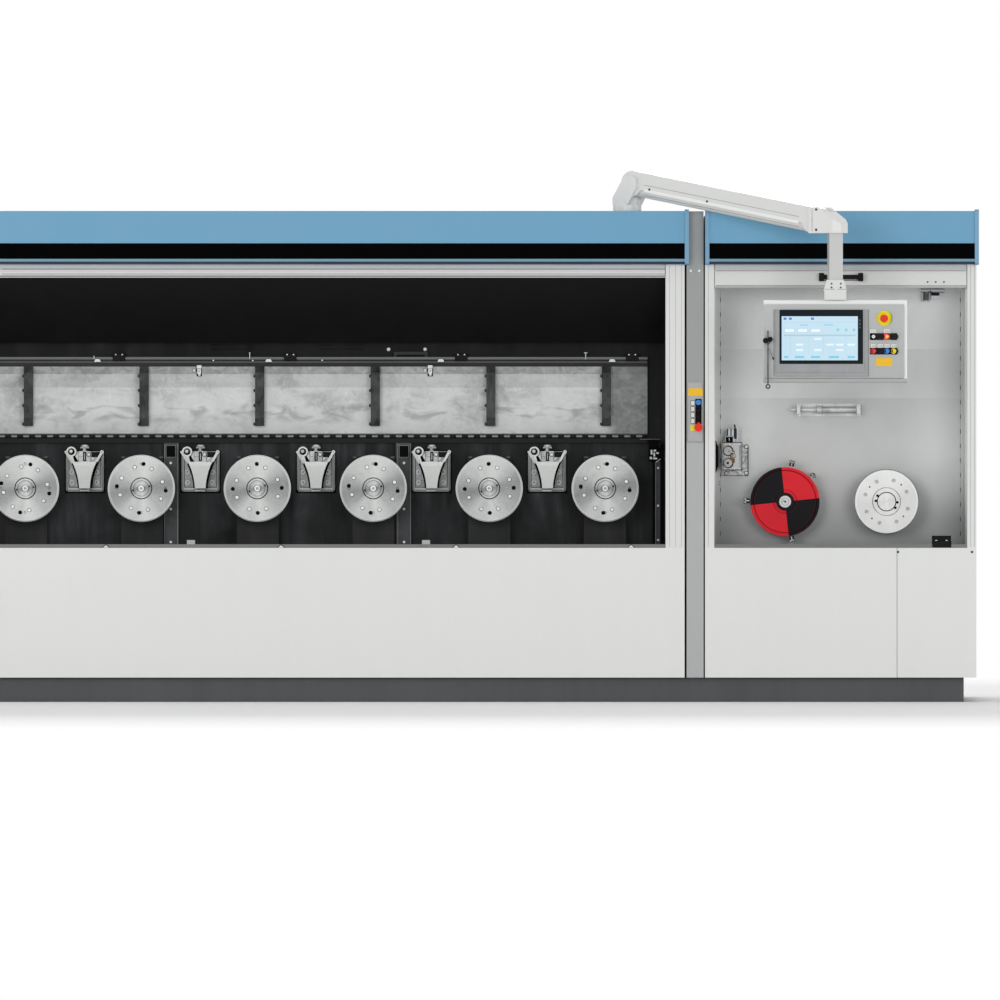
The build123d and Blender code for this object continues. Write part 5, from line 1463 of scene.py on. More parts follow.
@dataclass
class DieHolders(Assembly):
    """Six die holders: plate bolts, painted shade beside the horns and round the plates, clamp knob, eye ball
    and lever.
    """

    first: float = -2.351
    pitch: float = 0.57
    count: int = 6
    wall: float = -0.37
    plate: float = -0.386
    tip: float = -0.536
    arm: float = -0.5
    clamp: float = -0.491
    bolts: tuple[Pair, ...] = ((-0.0635, 1.127), (-0.0635, 1.076), (0.0585, 1.127), (0.0585, 1.076))
    eye: Pair = (-0.063, 1.228)
    lever: Pair = (0.088, 1.227)
    shift: float = 0.002
    half_top: float = 0.081
    half_foot: float = 0.0265
    top: float = 1.178
    shade_top: float = 1.216
    foot: float = 1.048
    # Width of the painted shade beside each horn.
    cheek: float = 0.0085
    plate_shadow_half: float = 0.0995
    shade_steps: int = 8

    def knob(self, knobs: Piece, dark: Piece, x: float) -> None:
        """Adds the stem's mushroom knob, the slot, the clamp's bolt head and the foot below the horn.

        Args:
            knobs: Piece of the bright parts.
            dark: Piece of the dark parts.
            x: Middle of the holder.
        """
        y = (self.plate + self.tip) / 2
        knobs.lathe(((0.0, 0.0), (0.013, 0.0), (0.007, 0.008), (0.0055, 0.014), (0.0, 0.014)),
                    (x, y, 1.2305), Axis.UP, 16)
        knobs.lathe(((0.0, 0.0), (0.0145, 0.001), (0.0185, 0.005), (0.0175, 0.01), (0.01, 0.0135),
                     (0.0, 0.0145)), (x + self.shift, y, 1.2492), Axis.UP)
        dark.block((x - 0.0055, self.clamp - 0.0012, 1.1815), (x + 0.0105, self.clamp, 1.2275), 0.0005)
        knobs.block((x + 0.0012, self.clamp - 0.0025, 1.1875), (x + 0.0036, self.clamp, 1.2205), 0.0004)
        bolt = (x + 0.0225, self.clamp, 1.2135)
        knobs.lathe(((0.0, 0.0), (0.0095, 0.0), (0.0095, 0.005), (0.006, 0.009), (0.0, 0.01)), bolt, steps=16)
        dark.washer(bolt, 0.0115, 0.0097, 0.0006)
        for corners in (((-0.0285, 1.2265), (-0.0555, 1.2265), (-0.0285, 1.178)),
                        ((0.0335, 1.2), (0.052, 1.2), (0.0335, 1.178))):
            knobs.prism([(x + across, self.clamp + 0.012, rise) for across, rise in corners], 0.03, 0.001)
        for across in (-0.0285, 0.0335):
            dark.upright(x + across, 0.0008, (1.18, 1.229), self.clamp, 0.0006)
        dark.block((x - 0.028, self.clamp - 0.0006, 1.2025), (x - 0.006, self.clamp, 1.2038))
        knobs.block((x - 0.026, self.plate - 0.012, 1.0315), (x + 0.0245, self.plate, 1.0405), 0.002)

    def eye_and_lever(self, knobs: Piece, dark: Piece, x: float) -> None:
        """Adds the ball in the wire eye, and the dark recess beside the lever.

        Args:
            knobs: Piece of the bright parts.
            dark: Piece of the dark parts.
            x: Middle of the holder.
        """
        eye_x, z = x + self.eye[0], self.eye[1]
        dark.lathe(((0.0, -0.02), (0.0168, -0.02), (0.0168, -0.004), (0.0, -0.004)), (eye_x, self.arm, z),
                   steps=24)
        knobs.lathe(((0.0, -0.006), (0.0075, -0.004), (0.009, 0.0), (0.0065, 0.004), (0.0, 0.006)),
                    (eye_x - 0.002, self.arm, z + 0.002))
        dark.washer((eye_x, self.arm + 0.006, z), 0.0272, 0.0242, 0.004, 32)
        dark.disc((x + self.lever[0], self.arm, self.lever[1]), 0.0022, 0.0025, 0.001, 12)
        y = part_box("die_plates")[0].y
        corners = ((0.036, 1.2005), (0.0635, 1.2005), (0.0775, 1.2265), (0.0365, 1.2265))
        dark.prism([(x + across, y, rise) for across, rise in corners], self.clamp + 0.02 - y, 0.001)

    def shade(self, shades: Piece, x: float) -> None:
        """Adds black pieces as painted shade beside the horn and as painted shadow round the plate.

        Args:
            shades: Piece of the painted shade.
            x: Middle of the holder.
        """
        shades.upright(x, self.plate_shadow_half, (1.0245, 1.236), self.wall, 0.002, 0.002)
        middle, y = x + self.shift, self.plate - 0.02
        for side in (-1, 1):
            outer = []
            for step in range(self.shade_steps + 1):
                part = step / self.shade_steps
                rise = self.foot + (self.shade_top - self.foot) * part
                spread = self.half_foot + (self.half_top - self.half_foot) * part ** 1.75
                outer.append((middle + side * (spread + self.cheek), y, rise))
            inner = [(middle + side * 0.02, y, outer[-1][2]), (middle + side * 0.015, y, self.foot)]
            shades.prism(outer + inner, -0.06)

    def draw(self) -> None:
        """Dresses and draws the holders."""
        dress_nodes({"die_plates": HolderPlate("holder_plate", self.first, self.pitch, (196, 198, 199),
                                               (176, 178, 179), (66, 67, 68), 0.0765, 1.0555),
                     "die_horns": CastFunnel("cast_funnel", (214, 216, 213), (24, 24, 25), self.tip + 0.03,
                                             self.arm + 0.004, self.top),
                     "die_clamps": CLAMP_STEEL})
        bright = self.piece("die_bolts", Slot.BRIGHT, BOLT_WHITE)
        dark = self.piece("die_dark_parts", Slot.DARK, BLACK_PLASTIC)
        knobs = self.piece("die_clamp_knobs", Slot.BRIGHT, BRIGHT_STEEL)
        shades = self.piece("die_holder_shades", Slot.DARK, BLACK_RUBBER)
        fingers = self.piece("die_horn_fingers", Slot.BRIGHT, CAST_WHITE)
        for number in range(self.count):
            x = self.first + self.pitch * number
            for across, z in self.bolts:
                place = (x + across, self.plate, z)
                bright.washer(place, 0.0135, 0.005, 0.006)
                dark.disc(place, 0.005, 0.005, 0.003)
                bright.screw((place[0] + 0.001, self.plate, z - 0.001), 0.0034, 0.006)
            self.knob(knobs, dark, x)
            self.eye_and_lever(knobs, dark, x)
            self.shade(shades, x)
            fingers.beam((x - 0.0575, self.arm, 1.17), (x - 0.093, self.arm, 1.231), 0.0115, 0.006, 0.0012)


@dataclass
class TiltCover(Assembly):
    """Steel cover over the wire's path: rib bolts, rail brackets, pins and white latches."""

    sheet: float = -0.396
    rail: float = -0.409
    first_bolt: float = -2.0815
    pitch: float = 0.57
    ribs: int = 6
    bolt_rows: tuple[float, ...] = (376.0, 390.5, 405.5, 424.0)
    brackets: tuple[float, ...] = (119.0, 290.3, 461.2, 632.1)
    clamps: tuple[float, ...] = (97.5, 268.6, 440.8, 612.2)
    pins: tuple[Point, ...] = ((94.0, 1.6995, 0.003), (249.7, 1.716, 0.004), (585.7, 1.716, 0.0085))
    dots: tuple[Pair, ...] = ((213.3, 360.4), (252.8, 360.5), (322.2, 360.3))
    latches: Pair = (199.0, 430.0)

    def bolts(self) -> None:
        """Bolt heads beside the ribs."""
        bolts = self.piece("rib_bolts", Slot.DARK, DARK_SCREW, Body.COVER)
        for number in range(self.ribs):
            for down in self.bolt_rows:
                place = (self.first_bolt + self.pitch * number, self.sheet, SIGHT.z(down, self.sheet))
                bolts.lathe(((0.0, 0.0), (0.0085, 0.0), (0.0085, 0.018), (0.006, 0.022), (0.0, 0.023)), place,
                            steps=12)

    def rail_fittings(self) -> None:
        """Brackets, clamps, pins and dots along the upper rail."""
        brackets = self.piece("rail_brackets", Slot.BLACK, BLACK_PLASTIC, Body.COVER)
        dots = self.piece("rail_dots", Slot.FITTING, WHITE_PLASTIC, Body.COVER)
        for across in self.brackets:
            x = SIGHT.x(across, self.rail)
            brackets.upright(x, 0.031, (1.676, 1.712), self.rail + 0.012, 0.02, 0.003)
            for shift in (-0.016, 0.016):
                dots.screw((x + shift, self.rail - 0.008, 1.707), 0.0035, 0.002)
        for across in self.clamps:
            x = SIGHT.x(across, self.rail)
            corners = ((-0.017, 1.671), (0.017, 1.671), (0.01, 1.685), (-0.01, 1.685))
            dots.prism([(x + shift, self.rail, z) for shift, z in corners], -0.008, 0.001)
        for spot in self.dots:
            dots.screw(SIGHT.at(*spot, self.rail), 0.004, 0.003)
        pins = self.piece("rail_pins", Slot.BRIGHT, BRIGHT_STEEL, Body.COVER)
        y = self.rail - 0.003
        for across, top, reach in self.pins:
            x = SIGHT.x(across, self.rail)
            pins.rod((x, y, 1.684), (x, y, top), 0.0022)
            pins.rod((x - reach, y, top), (x + reach, y, top), 0.0024)

    def white_latches(self) -> None:
        """White latches with their small balls."""
        latches = self.piece("cover_latches", Slot.FITTING, WHITE_PLASTIC, Body.COVER)
        dark = self.piece("cover_latch_backs", Slot.DARK, BLACK_PLASTIC, Body.COVER)
        y = self.sheet
        for across in self.latches:
            x = SIGHT.x(across, y)
            latches.block((x - 0.011, y - 0.014, 1.638), (x + 0.013, y, 1.655), 0.002)
            latches.block((x - 0.009, y - 0.02, 1.612), (x + 0.011, y - 0.002, 1.637), 0.003)
            latches.block((x - 0.004, y - 0.014, 1.603), (x + 0.008, y - 0.002, 1.613), 0.002)
            dark.block((x - 0.022, y - 0.006, 1.624), (x - 0.008, y, 1.636), 0.001)
            dark.block((x - 0.012, y - 0.003, 1.6), (x + 0.0145, y, 1.657), 0.001)
            latches.lathe(((0.0, 0.0), (0.005, 0.001), (0.0075, 0.006), (0.005, 0.011), (0.0, 0.012)),
                          (x - 0.023, y - 0.004, 1.6295), steps=16)
            dark.lathe(((0.0, 0.0), (0.0032, 0.0), (0.0032, 0.001), (0.0, 0.001)),
                       (x + 0.001, y - 0.02, 1.626), steps=10)

    def draw(self) -> None:
        """Dresses and draws the cover."""
        cover = SmearedShadedSheet("wiped_and_shaded_sheet", (188, 190, 189), (150, 152, 152), 1.611, (122, 124, 124), 0.99,
                             (98, 99, 100))
        dress_nodes({"cover_sheet": cover, "cover_ribs": RIB_STEEL, "cover_edge_rail": RAIL_STEEL,
                     "cover_hinge": HINGE_STEEL})
        self.bolts()
        self.rail_fittings()
        self.white_latches()


@dataclass
class TakeUp(Assembly):
    """Take-up chamber: sheave, pull-out capstan, roller block, guide tube and their fittings."""

    wall: float = -0.37
    flange: float = -0.382
    sheave_centre: Pair = (1.671, 0.982)
    # Angle, reach, and whether a black strip of painted shade lies behind each guard's clamp.
    guards: tuple[tuple[float, float, bool], ...] = ((80.0, 0.188, True), (178.5, 0.186, True),
                                                     (-80.0, 0.184, True), (43.0, 0.178, False))
    pull_centre: Pair = (2.169, 0.982)
    pull_face: float = -0.556
    pull_radius: float = 0.157
    block_face: float = -0.49
    block_sides: Pair = (1.3615, 1.4548)
    block_ends: Pair = (1.1375, 1.2715)
    bores: tuple[Pair, ...] = ((1.4, 1.232), (1.4, 1.172))
    plate_face: float = -0.38
    plate_bolts: tuple[Pair, ...] = ((746.2, 446.8), (746.2, 473.0), (726.3, 473.2))
    pocket_face: float = -0.4885
    pin_face: float = -0.456
    wall_edges: Pair = (720.4, 960.4)
    dash_pitch: float = 14.6
    dash_rows: Pair = (300.0, 541.0)
    bush: Pair = (0.085, 0.033)
    passage_y: float = -0.57
    strip_y: float = -0.72
    bracket_face: float = -0.79

    def on_pull_out(self, share: float, angle: float) -> Point:
        """Place on the pull-out capstan's face.

        Args:
            share: Share of its radius.
            angle: Angle in degrees.

        Returns:
            The place in the machine.
        """
        x, z = self.pull_centre
        reach = self.pull_radius * share
        return (x + reach * cos(radians(angle)), self.pull_face, z + reach * sin(radians(angle)))

    def pull_out(self) -> None:
        """Screws, holes and grooves of the pull-out capstan, and a dark ring round its rim as painted shade.
        """
        x, z = self.pull_centre
        heads = self.piece("pull_out_screws", Slot.BRIGHT, SCREW_STEEL, Body.PULL_OUT)
        dark = self.piece("pull_out_holes_and_shade", Slot.DARK, BLACK_RUBBER, Body.PULL_OUT)
        for step in range(8):
            place = self.on_pull_out(0.7, 26.5 + 45 * step)
            dark.washer(place, 0.0086, 0.0066, 0.0006)
            dark.washer(place, 0.0034, 0.0018, 0.0004, 12)
        for angle in (49, 139, 229, -41):
            dark.disc(self.on_pull_out(0.7, angle), 0.0035, 0.004, 0.0008, 12)
        for angle in (146.6, 176, -4, -35):
            dark.disc(self.on_pull_out(0.34, angle), 0.0055, 0.006, 0.0008, 14)
        for share, width in ((0.435, 0.0014), (0.278, 0.0042)):
            reach = self.pull_radius * share
            dark.washer((x, self.pull_face, z), reach + width, reach, 0.0008, 64)
        for angle in (45, 135, 225, 315):
            heads.screw(self.on_pull_out(0.12, angle), 0.004, 0.002)
        # Painted shade: a dark ring showing just outside the rim, behind the face.
        back = (x, self.pull_face + 0.012, z)
        dark.washer(back, self.pull_radius + 0.0022, self.pull_radius - 0.004, 0.004, 96)

    def sheave_details(self) -> None:
        """Rings and slot on the sheave's hub cap, and the two-lobed clamps of its guards, with black painted
        shade behind and round them.
        """
        x, z = self.sheave_centre
        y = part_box("sheave")[0].y
        rings = self.piece("sheave_cap_rings", Slot.DARK, DARK_STEEL, Body.SHEAVE)
        rings.washer((x, y, z), 0.0305, 0.029, 0.0008, 40)
        rings.washer((x, y, z), 0.0185, 0.0172, 0.0008, 32)
        rings.disc((x, y, z), 0.004, 0.0055, 0.002, 16)
        rings.beam((x - 0.014, y, z - 0.004), (x - 0.005, y, z + 0.009), 0.0018, 0.0008)
        clamps = self.piece("guard_clamps", Slot.DARK, CLAMP_STEEL)
        # Black strips and rings behind the clamps: painted shade.
        clamp_shades = self.piece("guard_clamp_shades", Slot.DARK, BLACK_PLASTIC)
        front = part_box("sheave_guards")[0].y
        for angle, reach, shade_behind in self.guards:
            turn = radians(angle)
            out = Vector((cos(turn), 0, sin(turn)))
            side = Vector((-sin(turn), 0, cos(turn)))
            middle = Vector((x, front, z)) + out * reach
            if shade_behind:
                clamp_shades.beam(middle - out * 0.012, middle + out * 0.016, 0.0235, 0.001, 0.0004)
            clamps.beam(middle - out * 0.01, middle + out * 0.012, 0.007, 0.003, 0.001)
            for shift in (-0.0075, 0.0075):
                spot = tuple(middle + out * 0.011 + side * shift)
                clamps.lathe(((0.0, 0.0), (0.0058, 0.0), (0.0058, 0.003), (0.004, 0.005), (0.0, 0.005)), spot,
                             steps=16)
                clamp_shades.washer(spot, 0.0078, 0.0058, 0.0012, 16)

    def roller_block(self) -> None:
        """Bolts, arm, brass necks and outline of the roller block, and the bolts on its plate."""
        bolts = self.piece("roller_block_bolts", Slot.BRIGHT, BOLT_WHITE)
        arm = self.piece("roller_arm", Slot.BRIGHT, CLAMP_STEEL)
        necks = self.piece("bore_necks", Slot.DARK, BRASS)
        lines = self.piece("roller_block_lines", Slot.DARK, DARK_SCREW)
        y = self.block_face
        for x in self.block_sides:
            lines.upright(x, 0.0007, self.block_ends, y, 0.0005)
        for z in self.block_ends:
            lines.level(self.block_sides, z, 0.0007, y, 0.0005)
        for spot in self.plate_bolts:
            place = SIGHT.at(*spot, self.plate_face)
            bolts.lathe(((0.0, 0.0), (0.0082, 0.0), (0.0078, 0.006), (0.0, 0.008)), place, steps=16)
            lines.washer(place, 0.0112, 0.008, 0.001)
        for x in (1.376, 1.399, 1.422, 1.445):
            for z in (1.2645, 1.1445):
                bolts.screw((x, y, z), 0.003, 0.002)
        arm.beam((1.392, y, 1.232), (1.424, y, 1.222), 0.009, 0.006, 0.002)
        arm.block((1.413, y - 0.009, 1.2), (1.428, y, 1.216), 0.002)
        arm.block((1.446, y - 0.004, 1.15), (1.4525, y, 1.26), 0.0015)
        necks.beam((1.4085, y, 1.213), (1.4155, y, 1.195), 0.006, 0.0006)
        necks.beam((1.417, y, 1.222), (1.4225, y, 1.196), 0.006, 0.0006)

    def plug(self) -> None:
        """Black plug with its pins, the shadows beside the block's plate and the rim of its pocket."""
        plug = self.piece("wire_plug_and_shadows", Slot.BLACK, BLACK_RUBBER)
        plug.block((1.3775, -0.46, 1.272), (1.4165, -0.41, 1.3035), 0.003)
        for column in (727.4, 731.0, 734.4):
            x = SIGHT.x(column, self.pin_face)
            plug.block((x - 0.0016, -0.457, 1.303), (x + 0.0016, -0.43, 1.3405), 0.0004)
        # Painted shadows: black strips beside and under the block's plate.
        for x, low, high in ((1.4548, 1.136, 1.264), (1.4895, 1.112, 1.257)):
            plug.block((x - 0.0012, -0.3812, low), (x + 0.003, self.wall, high), 0.0005)
        plug.block((1.361, -0.3812, 1.1102), (1.49, self.wall, 1.1122))
        y = self.pocket_face
        left, _, top = SIGHT.at(722.9, 442.2, y)
        right, _, foot = SIGHT.at(742.2, 469.9, y)
        for x in (left + 0.001, right - 0.001):
            plug.upright(x, 0.001, (foot, top), y, 0.0015)
        for z in (foot + 0.001, top - 0.001):
            plug.level((left, right), z, 0.001, y, 0.0015)
        plug.lathe(((0.0, 0.0), (0.0055, 0.0), (0.005, 0.012), (0.0, 0.013)), (1.39, self.block_face, 1.172),
                   steps=16)

    def valve(self) -> None:
        """Blue valve over the block, its white lever, and the plug's white edge and sleeves."""
        valve = self.piece("wire_valve", Slot.BLUE, BLUE)
        valve.rod((1.4265, -0.45, 1.29), (1.4265, -0.45, 1.342), 0.0072)
        valve.rod((1.4265, -0.45, 1.342), (1.4225, -0.45, 1.362), 0.0042)
        lever = self.piece("wire_valve_lever", Slot.FITTING, WHITE_PLASTIC)
        lever.rod((1.4285, -0.452, 1.352), (1.4345, -0.454, 1.347), 0.003)
        lever.lathe(((0.0, -0.006), (0.005, -0.004), (0.0068, 0.0), (0.005, 0.004), (0.0, 0.006)),
                    (1.4385, -0.455, 1.343), steps=16)
        for left, foot, right, top in ((1.3765, 1.3015, 1.4175, 1.305), (1.3765, 1.2745, 1.3795, 1.305),
                                       (1.4145, 1.2745, 1.4175, 1.305), (1.395, 1.281, 1.3985, 1.296)):
            lever.block((left, -0.4612, foot), (right, -0.4598, top), 0.0004)
        for column in (729.2, 732.7):
            x = SIGHT.x(column, self.pin_face)
            lever.block((x - 0.0058, -0.458, 1.304), (x + 0.0058, -0.44, 1.3385), 0.0022)

    def passage(self) -> None:
        """Small holes and slots in the wall, and a black ring for the wire's passage: its rim, and painted
        shade in the opening.
        """
        holes = self.piece("wall_holes", Slot.BLACK, BLACK_RUBBER)
        x, y, z = SIGHT.at(718, 483, self.wall)
        for across in (-0.006, 0.006):
            for up in (-0.006, 0.006):
                holes.disc((x + across, y, z + up), 0.0022, 0.0025, 0.0006, 10)
        slots = self.piece("wall_edge_slots", Slot.DARK, DARK_SCREW)
        seams = self.piece("wall_edge_seams", Slot.SHELL, SEAM_GREY)
        for edge, y in zip(self.wall_edges, (self.wall, self.flange)):
            x = SIGHT.x(edge, y)
            down, bottom = self.dash_rows
            while down < bottom:
                slots.pad((x, y, SIGHT.z(down, y)), (0.0017, 0.011), 0.0008, 0.0003)
                down += self.dash_pitch
            seams.upright(x, 0.0006, (0.702, 2.02), y, 0.0004)
        strip = self.piece("wall_guide_strip", Slot.SHELL, WHITE_PANEL)
        y = self.strip_y
        strip.block(SIGHT.at(965.2, 536, y), (SIGHT.x(966.8, y), y + 0.3, 2.03), 0.001)
        # Black ring seen edge-on: the passage's rim and the painted shade in its opening.
        bush = self.piece("wire_passage_rim_and_shade", Slot.BLACK, BLACK_RUBBER)
        reach, bore = self.bush
        profile = ((bore, 0.0), (bore, 0.012), (bore + 0.02, 0.0175), (reach - 0.03, 0.014),
                   (reach - 0.01, 0.008), (reach, 0.0), (bore, 0.0))
        inner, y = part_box("takeup_liners")[0].x + 0.012, self.passage_y
        bush.lathe(profile, (inner, y, SIGHT.z(456.6, y)), Axis.RIGHT, 48)

    def hanging(self) -> None:
        """Bolts of the bracket and the guide tube's plate, the tube's nuts, painted shade lines on the tube
        and the sensor's dark parts.
        """
        bolts = self.piece("takeup_bolts", Slot.BRIGHT, SCREW_STEEL)
        y = self.bracket_face
        for across in (936.2, 946.5):
            bolts.screw((SIGHT.x(across, y), y, 0.7885), 0.006, 0.003)
        for x in (1.735, 2.036):
            for z in (1.4125, 1.4575):
                bolts.screw((x, -0.378, z), 0.005, 0.003)
        nuts = self.piece("guide_tube_nuts", Slot.BRIGHT, SCREW_STEEL)
        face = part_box("wire_guide_tube")[0].y
        for column in (799.4, 859.0):
            for row in (405.8, 415.6):
                nuts.lathe(((0.0, 0.0), (0.0058, 0.0), (0.0058, 0.006), (0.004, 0.008), (0.0, 0.008)),
                           SIGHT.at(column, row, face), steps=6)
        # Painted shade: dark lines along the edges of the tube's parts.
        lines = self.piece("guide_tube_shade_lines", Slot.DARK, DARK_SCREW)
        for column in (796.4, 801.6, 816.2, 822.4, 856.4, 861.4):
            lines.upright(SIGHT.x(column, face), 0.0006, (1.408, 1.462), face, 0.0006)
        for row in (407.3, 412.7):
            span = (SIGHT.x(822.5, face), SIGHT.x(856, face))
            lines.level(span, SIGHT.z(row, face), 0.0006, face, 0.0005)
        low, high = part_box("sill_bracket")
        foot = self.piece("sill_bracket_foot", Slot.BLACK, BLACK_PLASTIC)
        foot.block((low.x, -0.8035, 0.757), (high.x, y, 0.79), 0.002)
        low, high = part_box("hanging_sensor")
        left, y, top = low.x, low.y, high.z
        sensor = self.piece("sensor_dark_parts", Slot.BLACK, BLACK_PLASTIC)
        sensor.block((left, y - 0.001, top - 0.017), (high.x, y, top - 0.014), 0.0003)
        sensor.block((left, y - 0.001, top - 0.004), (high.x, y, top - 0.002), 0.0003)
        for step in range(5):
            x = left + 0.012 + 0.006 * step
            sensor.block((x - 0.001, y - 0.0012, low.z + 0.004), (x + 0.001, y + 0.04, top - 0.018), 0.0003)
        sensor.block((left + 0.052, y + 0.004, top - 0.032), (left + 0.09, y + 0.03, top - 0.018), 0.002)

    def draw(self) -> None:
        """Dresses and draws the chamber."""
        sheave = QuarteredPaint("quartered_sheave", self.sheave_centre, (224, 44, 56), (22, 22, 25),
                                (226, 227, 227), 0.0445, 0.0305, 6.0)
        capstan = TurnedSteelWithHighlights("turned_pull_out", self.pull_centre, (202, 203, 202), (232, 233, 231), 1.0, 0.3,
                              0.1, 0.1575)
        block = BoredBlock("bored_block", (172, 174, 174), (132, 98, 68), self.bores, 0.0285, -0.4885)
        dress_nodes({"takeup_wall": CHAMBER_GREY, "takeup_liners": CHAMBER_GREY, "takeup_decks": DECK_GREY,
                     "spindle_bosses": DARK_STEEL, "sheave": sheave, "sheave_guards": DARK_STEEL,
                     "pull_out_capstan": capstan, "roller_block": block, "guide_roller_upper": CAST_WHITE,
                     "guide_roller_lower": CAST_WHITE, "wire_fittings": WHITE_PLASTIC,
                     "wire_guide_tube": BRIGHT_STEEL, "hanging_sensor": WHITE_PLASTIC,
                     "sill_bracket": BLACK_PLASTIC})
        self.pull_out()
        self.sheave_details()
        self.roller_block()
        self.plug()
        self.valve()
        self.passage()
        self.hanging()


@dataclass
class PillarControls(Assembly):
    """Buttons of the pillar, with their bare label plates."""

    face: float = -0.804
    cap_face: float = -0.832
    label_rows: tuple[float, ...] = (403.0, 409.0, 415.0, 421.0)

    def plates(self) -> None:
        """Shadow lines round the control plate, and its bare yellow plates."""
        y = self.face
        # Painted shadow lines along the plate's foot and sides.
        rim = self.piece("pillar_plate_shadow_lines", Slot.SHELL, SEAM_GREY)
        low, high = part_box("pillar_plate")
        rim.block((low.x, y - 0.0004, low.z), (high.x, y, low.z + 0.0025))
        rim.block((low.x, y - 0.0004, low.z), (low.x + 0.0016, y, high.z))
        rim.block((high.x - 0.0016, y - 0.0004, low.z), (high.x, y, high.z))
        lemon = self.piece("pillar_stop_plate", Slot.FITTING, LEMON)
        lemon.pad(SIGHT.at(693.6, 427.9, y), (0.015, 0.0145), 0.001, 0.0004)
        yellow = self.piece("pillar_yellow_plates", Slot.FITTING, YELLOW)
        span = (SIGHT.x(688.2, y), SIGHT.x(702.6, y))
        yellow.level(span, SIGHT.z(392.0, y), 0.0185, y, 0.001, 0.0004)

    def draw(self) -> None:
        """Dresses and draws the controls."""
        blue = Spot(698.2, 402.4, -0.82, 0.0165, (66, 132, 205))
        stop = Spot(699.1, 427.4, -0.83, 0.024, (228, 52, 44))
        dress_nodes({"pillar_plate": PLATE_GREY,
                     "pillar_buttons": SpottedPlastic("pillar_caps", (8, 8, 9), (blue, stop))})
        y = self.face
        labels = self.piece("pillar_labels", Slot.FITTING, BLANK_WHITE)
        rims = self.piece("pillar_label_rims", Slot.BLACK, BLACK_RUBBER)
        for down in self.label_rows:
            place = SIGHT.at(692.8, down, y)
            rims.pad(place, (0.0105, 0.0125), 0.0006, 0.0003)
            labels.pad(place, (0.0085, 0.0105), 0.001, 0.0004)
        rims.block((SIGHT.x(695.3, y), y - 0.0008, SIGHT.z(424.2, y)), SIGHT.at(701.6, 398.8, y), 0.0003)
        for down in self.label_rows[1:]:
            x, _, z = SIGHT.at(698.4, down - 0.6, self.cap_face)
            rims.block((x - 0.011, -0.8405, z - 0.0035), (x + 0.011, -0.82, z + 0.0035), 0.0008)
        self.plates()


